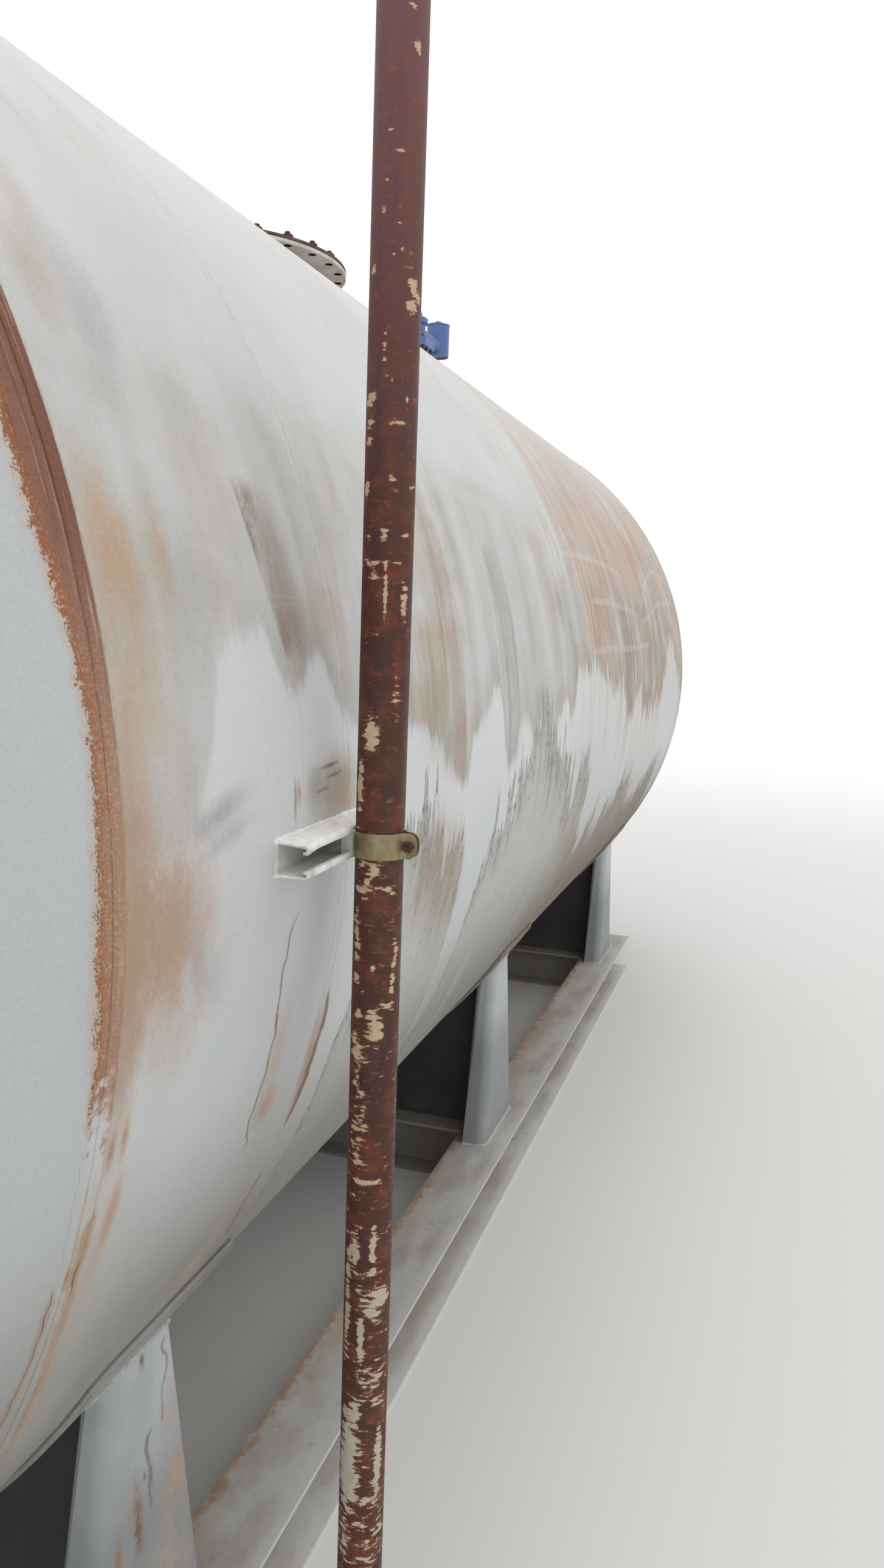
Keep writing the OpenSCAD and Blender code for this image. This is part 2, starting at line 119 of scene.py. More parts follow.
def placed(part, places, turns):
    """Copies of one part: turns is a stack of 3 x 3 matrices, places a stack of points."""
    points, faces = part
    moved = np.einsum("kij,pj->kpi", turns, points) + np.asarray(places)[:, None]
    steps = np.arange(len(moved))[:, None, None] * len(points)
    return moved.reshape(-1, 3), [(f[None] + steps).reshape(-1, f.shape[1]) for f in faces]


def about_z(angles):
    """Rotation matrices about the vertical for a stack of angles."""
    c, s, o = np.cos(angles), np.sin(angles), np.zeros(len(angles))
    return np.stack([c, -s, o, s, c, o, o, o, o + 1], -1).reshape(-1, 3, 3)


def waves(t, seed, lowest, highest, count=7):
    """Smooth lumps along t: a mean of sines with seeded frequency and phase, within +-1."""
    draw = np.random.default_rng(seed)
    rate, phase = draw.uniform(lowest, highest, count), draw.uniform(0, 2 * math.pi, count)
    return np.sin(np.asarray(t)[..., None] * rate * 2 * math.pi + phase).mean(-1) * 1.8


def cord_outline(radius, count=8):
    """Round section of the given radius at each station."""
    t = np.linspace(0, 2 * math.pi, count, endpoint=False)
    return np.reshape(radius, (-1, 1, 1)) * np.stack([np.cos(t), np.sin(t)], -1)[None]


def even(points, step, closed=False):
    """Points a step apart along a polyline, with the tangent at each."""
    points = np.asarray(points, float)
    if closed:
        points = np.vstack([points, points[:1]])
    length = np.concatenate([[0], np.cumsum(np.linalg.norm(np.diff(points, axis=0), axis=1))])
    count = max(3, int(length[-1] / step))
    at = np.linspace(0, length[-1], count, endpoint=not closed)
    path = np.stack([np.interp(at, length, points[:, k]) for k in range(3)], -1)
    if closed:
        along = np.roll(path, -1, 0) - np.roll(path, 1, 0)
    else:
        along = np.gradient(path, axis=0)
    return path, along / np.linalg.norm(along, axis=1, keepdims=True), at


def fillet_bead(points, radius, seed, normal, closed=False, step=6 * MM):
    """Fillet weld: a round cord of uneven radius along a corner line, half of it buried.
    normal is a direction that isn't along the line, one for all stations or one each."""
    path, along, at = even(points, step, closed)
    normal = np.broadcast_to(np.asarray(normal, float), path.shape)
    across = np.cross(along, normal)
    across /= np.linalg.norm(across, axis=1, keepdims=True)
    up = np.cross(across, along)
    size = radius * (1 + 0.16 * waves(at, seed, 30, 90) + 0.14 * waves(at, seed + 1, 5, 14))
    return carried(path, across, up, cord_outline(size), closed)


def outward(points, faces):
    """The faces, turned over where the closed surface they make has a negative volume."""
    volume = sum(np.einsum("fi,fi->", points[f[:, 0]], np.cross(points[f[:, k]], points[f[:, k + 1]]))
                 for f in faces for k in range(1, f.shape[1] - 1))
    return [f[:, ::-1] for f in faces] if volume < 0 else faces


def put_in_scene(name, data):
    """A new object at the origin that shows the mesh, lamp or camera data."""
    made = bpy.data.objects.new(name, data)
    bpy.context.scene.collection.objects.link(made)
    return made


def put_piece(name, parts, material, sharp=40):
    """Joins closed parts into one mesh object at the origin, riding on the root body."""
    points = np.vstack([p for p, _ in parts])
    starts = np.cumsum([0] + [len(p) for p, _ in parts[:-1]])
    faces = [f + s for (p, fs), s in zip(parts, starts) for f in outward(p, fs)]
    corners = np.concatenate([f.ravel() for f in faces]).astype(np.int32)
    sizes = np.concatenate([np.full(len(f), f.shape[1]) for f in faces])
    mesh = bpy.data.meshes.new(name)
    mesh.vertices.add(len(points))
    mesh.vertices.foreach_set("co", points.astype(np.float32).ravel())
    mesh.loops.add(len(corners))
    mesh.loops.foreach_set("vertex_index", corners)
    mesh.polygons.add(len(sizes))
    mesh.polygons.foreach_set("loop_start", (np.cumsum(sizes) - sizes).astype(np.int32))
    mesh.polygons.foreach_set("use_smooth", np.ones(len(sizes), bool))
    mesh.update(calc_edges=True)
    if mesh.validate():
        raise RuntimeError(f"{name}: the mesh isn't valid")
    mesh.set_sharp_from_angle(angle=math.radians(sharp))
    mesh.materials.append(bpy.data.materials[material])
    piece = put_in_scene(name, mesh)
    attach(piece, "root")
    return piece


# ---------------------------------------------------------------- material tools

def linear(hex_colour):
    """An sRGB hex colour as linear red, green, blue, alpha."""
    parts = [int(hex_colour[i:i + 2], 16) / 255 for i in (1, 3, 5)]
    return tuple(c / 12.92 if c <= 0.04045 else ((c + 0.055) / 1.055) ** 2.4 for c in parts) + (1.0,)


def join(tree, node, inputs):
    """Gives each socket of a node that inputs names its value or its link."""
    for key, value in inputs.items():
        if isinstance(value, bpy.types.NodeSocket):
            tree.links.new(value, node.inputs[key])
        else:
            node.inputs[key].default_value = value


def add(tree, kind, inputs=None, out=0, **settings):
    """Adds one shader node: settings are its properties, inputs the values or links of its
    sockets. Gives back one output socket, or the node where out is None."""
    node = tree.nodes.new("ShaderNode" + kind)
    for name, value in settings.items():
        setattr(node, name, value)
    join(tree, node, inputs or {})
    return node if out is None else node.outputs[out]


def product(tree, *factors):
    """Links and numbers multiplied together, in their order."""
    result = factors[0]
    for factor in factors[1:]:
        result = add(tree, "Math", {0: result, 1: factor}, operation="MULTIPLY")
    return result


def coat(tree, under, over, *covers):
    """One colour over another, as thick as the product of its covers. A colour is a link, four
    linear numbers or the text of an sRGB hex colour."""
    under, over = (linear(c) if isinstance(c, str) else c for c in (under, over))
    return add(tree, "Mix", {0: product(tree, *covers), 6: under, 7: over}, **COLOUR)


def start_material(name):
    """An empty node material with its surface shader already joined to the output. Gives back
    its tree, that shader and the place of a point in the frame."""
    material = bpy.data.materials.new(name)
    material.use_nodes = True
    tree = material.node_tree
    tree.nodes.clear()
    shader = add(tree, "BsdfPrincipled", out=None)
    add(tree, "OutputMaterial", {"Surface": shader.outputs[0]}, out=None)
    return tree, shader, add(tree, "TexCoord", out=3)


def per_mm(size):
    """Scale of a texture whose features are size millimetres, on coordinates in metres."""
    return 1000 / size


def read_off(tree, value, points, floor=-70.0, ceiling=70.0):
    """Height of a drawn line: points are (value, height) pairs, joined by a smooth curve."""
    low, high = points[0][0], points[-1][0]
    share = add(tree, "MapRange", {0: value, 1: low, 2: high})
    node = add(tree, "FloatCurve", {1: share}, out=None)
    curve = node.mapping.curves[0]
    spots = [((x - low) / (high - low), (y - floor) / (ceiling - floor)) for x, y in points]
    curve.points[0].location, curve.points[1].location = spots[0], spots[-1]
    for spot in spots[1:-1]:
        curve.points.new(*spot)
    node.mapping.update()
    return add(tree, "MapRange", {0: node.outputs[0], 3: floor, 4: ceiling})


def tank_places(tree, where):
    """Where a point lies on the tank: x in metres, the angle round it in degrees above the
    axis (0 at the photographed side, 90 at the crown), and the same two laid flat in metres,
    with 1 as the third number on the other side. wrap is flat without that number. On a dished
    end the angle follows the height alone and flat runs across the end, so nothing fans out
    from its middle. reach is the distance from the middle of the tank."""
    at_x, at_y, at_z = add(tree, "SeparateXYZ", {0: where}, out=None).outputs
    up = add(tree, "Math", {0: at_z, 1: AXIS_Z}, operation="SUBTRACT")
    side = add(tree, "Math", {0: at_y}, operation="ABSOLUTE")
    reach = add(tree, "Math", {0: at_x}, operation="ABSOLUTE")
    cap = add(tree, "Math", {0: reach, 1: SEAM_X + 75 * MM}, operation="GREATER_THAN")
    rim = add(tree, "Math", {0: up, 1: up}, operation="MULTIPLY")
    rim = add(tree, "Math", {0: TANK_R * TANK_R, 1: rim}, operation="SUBTRACT")
    rim = add(tree, "Math", {0: rim, 1: 1 * MM}, operation="MAXIMUM")
    rim = add(tree, "Math", {0: rim}, operation="SQRT")
    side = add(tree, "Mix", {0: cap, 2: side, 3: rim})
    half = add(tree, "Math", {0: up, 1: side}, operation="ARCTAN2")
    angle = add(tree, "Math", {0: half, 1: 180 / math.pi}, operation="MULTIPLY")
    back = add(tree, "Math", {0: at_y, 1: 0.0}, operation="GREATER_THAN")
    swap = add(tree, "MapRange", {0: back, 3: 1.0, 4: -1.0})
    along = add(tree, "Math", {0: at_x, 1: swap}, operation="MULTIPLY")
    arc = add(tree, "Math", {0: angle, 1: ARC_PER_DEGREE}, operation="MULTIPLY")
    flat = add(tree, "CombineXYZ", {0: along, 1: arc, 2: back})
    facing = add(tree, "CombineXYZ", {0: at_y, 1: arc})
    flat = add(tree, "Mix", {0: cap, 4: flat, 5: facing}, out=1, data_type="VECTOR")
    wrap = add(tree, "CombineXYZ", {0: along, 1: arc})
    return {"x": along, "true_x": at_x, "reach": reach, "angle": angle, "back": back,
            "flat": flat, "wrap": wrap}


def streaks(tree, flat, width, length, seed=0.0, low=0.35, high=0.65, detail=3.0):
    """Runs of water down a wall: noise squeezed to width x length millimetres, sharpened."""
    spread = add(tree, "VectorMath", {0: flat, 1: (1.0, width / length, 1.0)}, operation="MULTIPLY")
    moved = add(tree, "VectorMath", {0: spread, 1: (seed, seed * 0.7, 0)}, operation="ADD")
    noise = add(tree, "TexNoise", {"Vector": moved, "Scale": per_mm(width), "Detail": detail,
                                   "Roughness": 0.55})
    return add(tree, "MapRange", {0: noise, 1: low, 2: high}, **SOFT)


def clouds(tree, where, size, low=0.4, high=0.6, detail=3.0, seed=0.0):
    """Even mottling with features of size millimetres, from 0 to 1."""
    moved = add(tree, "VectorMath", {0: where, 1: (seed, -seed, seed)}, operation="ADD")
    noise = add(tree, "TexNoise", {"Vector": moved, "Scale": per_mm(size), "Detail": detail,
                                   "Roughness": 0.6})
    return add(tree, "MapRange", {0: noise, 1: low, 2: high}, **SOFT)


def front_gap(tree, places, line, ragged, seed, long):
    """How many degrees a point lies below a drawn line that is torn into runs ragged degrees
    deep; long is the length of the larger runs in millimetres."""
    height = read_off(tree, places["x"], line)
    broad = streaks(tree, places["flat"], 34, long, seed, 0.3, 0.7, 3.0)
    fine = streaks(tree, places["flat"], 9, long / 3, seed + 3, 0.3, 0.7, 3.0)
    both = add(tree, "Math", {0: fine, 1: 0.45, 2: broad}, operation="MULTIPLY_ADD")
    both = add(tree, "Math", {0: both, 1: 0.7}, operation="SUBTRACT")
    torn = add(tree, "Math", {0: both, 1: ragged}, operation="MULTIPLY")
    torn = add(tree, "Math", {0: torn, 1: height}, operation="ADD")
    return add(tree, "Math", {0: torn, 1: places["angle"]}, operation="SUBTRACT")


def grip_of(tree, where, size, seed=0.0):
    """How well dirt holds at a point, from 0.2 to 1.6: lumps of size millimetres that break up
    into grains of about 2 mm."""
    moved = add(tree, "VectorMath", {0: where, 1: (seed, seed, 0)}, operation="ADD")
    lumps = add(tree, "TexNoise", {"Vector": moved, "Scale": per_mm(size), "Detail": 4.0,
                                   "Roughness": 0.62})
    lumps = add(tree, "MapRange", {0: lumps, 1: 0.3, 2: 0.7, 3: 0.25, 4: 1.3})
    grains = add(tree, "TexNoise", {"Vector": where, "Scale": per_mm(3.5), "Detail": 2.0})
    grains = add(tree, "MapRange", {0: grains, 1: 0.3, 2: 0.7, 3: -0.22, 4: 0.22})
    return add(tree, "Math", {0: lumps, 1: grains}, operation="ADD")


def stain(tree, plane, grip, spot, strength):
    """A patch on a plane: spot is x, y, half length, half height and lean in degrees. Nearness
    to its middle, 1 there and 0 at the rim, is multiplied by grip and turned into cover."""
    x, y, half_x, half_y, lean = spot
    unit = add(tree, "Mapping", {"Vector": plane, "Location": (x, y, 0),
                                 "Rotation": (0, 0, math.radians(lean)),
                                 "Scale": (half_x, half_y, 1.0)}, vector_type="TEXTURE")
    near = add(tree, "TexGradient", {"Vector": unit}, out=1, gradient_type="SPHERICAL")
    held = add(tree, "Math", {0: near, 1: grip}, operation="MULTIPLY")
    return add(tree, "MapRange", {0: held, 1: 0.04, 2: 0.9, 4: strength}, **SOFT)


def ends_of(tree, value, line, fade):
    """Two covers that thin a drawn line out over fade, one at each end."""
    first, last = line[0][0], line[-1][0]
    return [add(tree, "MapRange", {0: value, 1: end, 2: inner}, **SOFT)
            for end, inner in ((first, first + fade), (last, last - fade))]


def lee_side(tree, value, across, line, reach, fade):
    """Dirt on one side of a drawn line: sharp along the line, thinning out over reach (negative
    for the other side) and over fade towards both ends."""
    at = read_off(tree, value, line, -2.5, 2.5)
    off = add(tree, "Math", {0: across, 1: at}, operation="SUBTRACT")
    sign = math.copysign(1.0, reach)
    edge = add(tree, "MapRange", {0: off, 1: -2 * MM * sign, 2: 5 * MM * sign}, **SOFT)
    thin = add(tree, "MapRange", {0: off, 1: reach, 2: 0.0})
    return product(tree, edge, thin, *ends_of(tree, value, line, fade))


def drawn_line(tree, value, across, line, half_width, fade, wander=None, span=2.5):
    """A thin mark: line gives the place across at each value, within span of 0; it thins out
    over fade at both ends, and wander shifts it sideways."""
    at = read_off(tree, value, line, -span, span)
    off = add(tree, "Math", {0: across, 1: at}, operation="SUBTRACT")
    if wander is not None:
        off = add(tree, "Math", {0: off, 1: wander}, operation="ADD")
    off = add(tree, "Math", {0: off}, operation="ABSOLUTE")
    half = product(tree, *ends_of(tree, value, line, fade), half_width)
    inside = add(tree, "Math", {0: half, 1: off}, operation="SUBTRACT")
    return add(tree, "MapRange", {0: inside, 1: -0.25 * half_width, 2: 0.35 * half_width}, **SOFT)


def paint_grain(tree, where, size=3):
    """The fine grain of sprayed or brushed paint, drawn as coarse as it needs to show."""
    return clouds(tree, where, size, 0.3, 0.7, 2.0)


def finish(tree, shader, colour, roughness, height, depth, fine=None):
    """Joins a colour, a roughness and a height pattern to the shader: depth is in metres for a
    full step of that pattern, and fine is a second one, 0.12 mm deep."""
    bump = add(tree, "Bump", {"Strength": 1.0, "Distance": depth, "Height": height})
    if fine is not None:
        bump = add(tree, "Bump", {"Strength": 1.0, "Distance": 0.12 * MM, "Height": fine,
                                  "Normal": bump})
    join(tree, shader, {"Base Color": colour, "Roughness": roughness, "Normal": bump})


# ---------------------------------------------------------------- stains of the tank

# Lower edge of the dirty band, as (x in metres, degrees above the axis).
GRIME_EDGE = [(-2.42, 8), (-2.33, 2), (-2.22, 3), (-2.17, 6.5), (-2.13, 10.8), (-2.076, 12), (-2.03, 11.2),
              (-1.964, 7.8), (-1.925, 9.2), (-1.89, 9.9), (-1.828, 6.6), (-1.786, 5.9), (-1.6, 5),
              (-1.545, 4.7), (-1.467, 3.7), (-1.38, 1.2), (-1.28, -1), (-1.24, 2.4), (-1.125, 5.2),
              (-1.053, 6.3), (-0.98, -1.5), (-0.92, 0), (-0.853, 3.1), (-0.77, 1), (-0.69, 3.2),
              (-0.57, 0.6), (-0.417, 3.5), (-0.33, 1.5), (-0.251, 6), (-0.066, 7.2), (0.226, 5.2),
              (0.4, 3), (0.5, 3), (0.73, -2), (0.82, 2), (1.0, -1), (1.25, -3), (1.54, -1),
              (1.68, 4), (1.9, 11), (2.15, 3), (2.4, -1)]
# Upper edge of the mildew on the lower flank.
MILDEW_EDGE = [(-2.42, -62), (-1.86, -62), (-1.78, -34), (-1.7, -12), (-1.58, -3), (-1.45, -3),
               (-1.35, -8), (-1.28, -5.6), (-1.235, -9), (-1.205, -26), (-1.15, -28), (-1.10, -15),
               (-1.05, -7), (-0.88, -4), (-0.68, 2), (-0.54, 0), (-0.4, -3.5), (-0.24, -7),
               (-0.185, -11), (-0.13, -5.6), (-0.02, -6), (0.1, -18), (0.23, -20), (0.34, -15.6),
               (0.456, -20), (0.57, -16), (0.7, -18), (0.85, -13), (1.04, -14.5), (1.18, -18),
               (1.43, -22), (1.6, -19), (1.82, -15.5), (1.98, -17), (2.05, -26), (2.42, -32)]
# How strong the band of dirt is, as (x, share).
GRIME_WEIGHT = [(-2.35, 0.5), (-1.7, 0.5), (-1.35, 0.7), (-1.0, 0.45), (-0.4, 0.5), (0.1, 0.75),
                (0.7, 0.95), (1.6, 1.0), (2.35, 0.8)]
# How far the rust of the near seam reaches over the head, as (degrees above the axis, metres).
SEAM_RUST_WIDTH = [(-18, 0.012), (-10, 0.022), (0, 0.030), (6, 0.026), (11, 0.034), (15, 0.048),
                   (20, 0.055), (70, 0.058)]
# Cracks in the paint below the bracket: half width of the crack and of the rust that it weeps,
# in millimetres, strength and colour of that rust, and the line as (degrees, x).
CRACKS = [
    (1.3, 5, 0.4, "#A4805F", [(-20.0, -1.982), (-19.3, -1.967), (-18.3, -1.981), (-16.8, -1.986),
                              (-14.7, -1.983), (-12.8, -1.98), (-6.4, -1.986), (-4.2, -1.961)]),
    (3.6, 10, 0.95, "#8A6242", [(-21.5, -1.832), (-20.4, -1.824), (-18.1, -1.817), (-16.2, -1.816),
                                (-14, -1.813), (-11, -1.821)]),
    (2.4, 8, 0.8, "#94775A", [(-30.4, -1.858), (-29.3, -1.845), (-26.8, -1.85), (-26.0, -1.843),
                              (-24.3, -1.838)]),
    (1.3, 14, 0.75, "#A9805A", [(-29.5, -2.332), (-28.2, -2.331), (-26.5, -2.33), (-22.7, -2.334),
                                (-19.7, -2.337), (-16.2, -2.341), (-13.5, -2.333)]),
    (1.0, 8, 0.6, "#A4805F", [(-26.0, -2.384), (-24.0, -2.38), (-22.3, -2.375), (-20.6, -2.3715),
                              (-16.7, -2.3715)]),
]
# Dirt with one sharp side: the line as (degrees, x), its reach, strength and colour.
LEES = [([(9.4, -1.975), (10.2, -1.983), (11.2, -1.99), (13.1, -2.002), (16.2, -2.016), (20.0, -2.026)],
         0.10, 1.0, "#8B7A6D"),
        ([(-1.2, -1.283), (3.0, -1.28), (6.4, -1.2765), (11.0, -1.266), (15.6, -1.273), (21.5, -1.274)],
         -0.17, 0.62, "#A68F7C"),
        ([(-1.8, -0.975), (2.0, -0.985), (8.0, -0.99), (15.0, -1.0), (20.0, -1.0)], 0.12, 0.7, "#9B958B"),
        ([(4.5, -0.252), (9.0, -0.25), (15.0, -0.245), (19.0, -0.245)], -0.14, 0.6, "#9C978C"),
        ([(-2.5, 0.735), (3.0, 0.74), (9.0, 0.755), (15.0, 0.76)], -0.20, 0.6, "#94897E"),
        ([(6.5, -1.80), (12.0, -1.79), (18.0, -1.77)], -0.06, 0.4, "#B3A28F")]
# Pale swirls drawn in the dirt, as (x, degrees).
SWIRLS = [[(-0.27, 21), (0.1, 22), (0.35, 22), (0.8, 20.8), (0.98, 19)],
          [(0.02, 15.4), (0.4, 15.8), (0.75, 15.2), (1.0, 14.6)],
          [(-0.05, 8.6), (0.3, 9.0), (0.8, 8.8), (1.3, 9.5)],
          [(1.05, 12.8), (1.35, 14.6), (1.7, 17), (2.3, 17.6)],
          [(1.0, 13.2), (1.2, 17), (1.5, 21.4), (1.9, 24.2), (2.2, 22.8), (2.32, 21)],
          [(-0.4, 26.5), (-0.385, 22), (-0.34, 18)],
          [(0.3, 8), (0.36, 2), (0.4, -4)],
          [(0.46, 18), (0.48, 10), (0.5, 4)]]
# Patches: x, degrees above the axis, half length, half degrees, lean, strength, colour.
PATCHES = [
    (-2.275, 12.5, 0.09, 9.5, 0, 0.85, "#B29C85"), (-2.295, 15.5, 0.05, 4.6, 0, 0.75, "#BC9470"),
    (-2.21, 15.2, 0.03, 4.6, 0, 0.75, "#B9997C"), (-2.30, 6.5, 0.06, 5, 0, 0.6, "#BFA48C"),
    (-2.17, 12.5, 0.085, 9, 0, 0.6, "#A3A09A"), (-2.27, -2.6, 0.16, 10, 10, 0.95, "#B0907A"),
    (-2.30, -1, 0.09, 6.5, 0, 0.8, "#AE8A70"), (-2.235, -1.5, 0.075, 5, 20, 0.5, "#B49C8B"),
    (-2.32, 2, 0.04, 24, 0, 0.7, "#B49A83"), (-2.17, 2.6, 0.12, 1.3, 12, 0.7, "#918F95"),
    (-2.14, 1.5, 0.09, 1, 12, 0.5, "#96959B"), (-2.22, 4.4, 0.06, 6, 20, 0.6, "#B5A594"),
    (-2.325, -2, 0.05, 12, 0, 0.8, "#AC8C75"), (-2.185, -5, 0.05, 4, 35, 0.35, "#9E9EA2"),
    (-2.275, 27.5, 0.06, 5, 0, 0.7, "#AE9C8A"), (-2.2, 26.5, 0.06, 5.5, 0, 0.6, "#A19EA2"),
    (-2.24, 31, 0.05, 5, 0, 0.5, "#B0A59C"), (-2.1, 22, 0.05, 5, 0, 0.4, "#ACAAA8"),
    (-2.24, 22.5, 0.06, 2.2, 0, 0.3, "#B9B0A8"), (-1.96, 13.5, 0.075, 7, -7, 0.7, "#A0958A"),
    (-1.95, 11.5, 0.06, 4, 0, 0.5, "#A6917F"), (-1.88, 17, 0.02, 7, 0, 0.4, "#A9A39C"),
    (-1.84, 12.6, 0.085, 3.4, 0, 0.5, "#B79F89"), (-1.80, 17.5, 0.09, 5, 0, 0.35, "#A9A69F"),
    (-1.73, 20, 0.03, 6.5, -8, 0.5, "#B2AAA2"), (-1.9, 22, 0.05, 4, 0, 0.3, "#B3AAA0"),
    (-1.95, -17, 0.05, 2.2, 0, 0.95, "#B5845E"), (-1.96, -13.5, 0.04, 6.5, 0, 0.5, "#B79A80"),
    (-1.95, -29.5, 0.075, 2.8, 0, 0.65, "#B5987E"), (-1.832, -15.5, 0.026, 6.5, 0, 0.75, "#A67F60"),
    (-1.91, -26, 0.075, 7, 0, 0.45, "#A39A90"), (-1.945, -27, 0.04, 4, 20, 0.5, "#9C9288"),
    (-2.325, -11.3, 0.012, 1.6, 0, 0.9, "#A9744C"), (-2.303, -11.1, 0.012, 2, 0, 0.9, "#B98455"),
    (-2.30, -15.4, 0.02, 3.6, -4, 0.95, "#B9875D"), (-2.312, -18.5, 0.03, 6, 0, 0.6, "#B9967A"),
    (-2.322, -25, 0.026, 6, 0, 0.7, "#B58E6C"), (-2.345, -14.5, 0.035, 7, 0, 0.8, "#B9B2A8"),
    (-2.29, -20, 0.11, 16, 0, 0.35, "#B3AEA6"), (-1.975, 2.4, 0.012, 1.2, 0, 0.9, "#B98F68"),
    (-1.925, 2.6, 0.05, 1.8, 0, 0.6, "#928B82"), (-1.985, 2.2, 0.006, 2.2, 0, 1, "#80705F"),
    (-1.86, 1.9, 0.12, 3.6, 0, 1.2, "#A3917A"), (-1.885, 3.5, 0.045, 0.22, 3, 1.2, "#625C54"),
    (-1.87, 2.9, 0.04, 0.2, 3, 1.2, "#6B645C"), (-1.905, 2.2, 0.035, 0.2, 3, 1, "#70695F"),
    (-1.83, 4, 0.05, 2.6, 0, 0.5, "#B3A491"), (-1.41, 11, 0.26, 2.6, 0, 0.8, "#B49A83"),
    (-1.45, 7, 0.22, 8, 0, 0.95, "#A39982"), (-1.345, 15, 0.04, 10, -6, 0.75, "#A9917F"),
    (-1.30, 3.5, 0.04, 6, 4, 0.65, "#A59585"), (-1.375, 12, 0.012, 9, -6, 0.6, "#A08A78"),
    (-1.42, 3.5, 0.2, 4, 0, 0.4, "#A3A497"), (-1.42, -7, 0.20, 7, 0, 0.85, "#A08F7D"),
    (-1.3, -11, 0.12, 8, 0, 0.6, "#A29484"), (-0.95, 12, 0.085, 17, 0, 0.55, "#A8A198"),
    (-1.005, 12, 0.02, 16, 0, 0.55, "#9B948B"), (-0.895, 12, 0.02, 15, 0, 0.5, "#9B948B"),
    (-0.9, 25.6, 0.32, 1.6, 0, 0.4, "#B0A69C"), (-1.2, 16, 0.05, 11, 0, 0.35, "#B0ABA4"),
    (-0.74, 12, 0.05, 13, 0, 0.35, "#ABA7A0"), (-0.49, 16, 0.13, 11, 0, 0.6, "#B3A293"),
    (-0.38, 15.2, 0.11, 4.6, 0, 0.75, "#94938F"), (-0.46, 21, 0.12, 4, 0, 0.45, "#B9A495"),
    (-0.245, 9, 0.03, 10, 0, 0.65, "#9A978C"), (-0.28, 12, 0.012, 9, 0, 0.5, "#8F8C83"),
    (-0.16, 15, 0.10, 8, 0, 0.45, "#A8A098"), (-0.7, 3.5, 0.26, 4.5, 0, 0.35, "#A4A69E"),
    (0, 24, 0.03, 30, 0, 0.9, "#C49B74"), (0.5, 20, 0.4, 9, 0, 0.85, "#B19C90"),
    (-0.02, 37, 0.12, 6, 0, 0.55, "#CBA987"), (0.04, 22, 0.12, 9, 0, 0.55, "#BE9A80"),
    (0.17, 15, 0.26, 10, 0, 0.85, "#B39079"), (0.09, 10.8, 0.16, 4, 0, 0.8, "#B58C6C"),
    (0.33, 13, 0.14, 6.5, 0, 0.75, "#A98C77"), (0.27, 5, 0.2, 7, 0, 0.5, "#C0A88F"),
    (0.25, 29, 0.6, 12, 0, 0.75, "#BFA89C"), (0.66, 8, 0.22, 12, 0, 0.85, "#9C9288"),
    (0.765, 8, 0.025, 10, 0, 0.85, "#85796E"), (0.68, 15, 0.12, 3.5, 0, 0.6, "#8D857D"),
    (0.95, 27, 0.5, 15, 0, 0.7, "#BEA799"), (1.30, 25.5, 0.36, 8, 0, 0.8, "#BF9C8E"),
    (1.36, 26.5, 0.2, 4.5, 0, 0.5, "#BC8F80"), (1.14, 15.5, 0.2, 3.4, 0, 0.7, "#9E8B7E"),
    (1.10, 10, 0.12, 2.6, 0, 0.6, "#A78368"), (1.28, 7, 0.36, 10, 0, 0.8, "#9D968C"),
    (1.55, 6, 0.22, 10, 0, 0.7, "#A5A096"), (1.02, 2, 0.06, 6, 0, 0.7, "#A09A8E"),
    (1.75, 23, 0.5, 8, 0, 0.6, "#B3A49D"), (1.9, 36, 0.5, 12, 8, 0.5, "#C7AC98"),
    (0.9, 40, 1, 18, 0, 0.5, "#C6B5AC"), (2.1, 6, 0.22, 14, 0, 0.6, "#B9A896"),
    (2.2, 15.5, 0.2, 4, 0, 0.6, "#A79C92"),
]


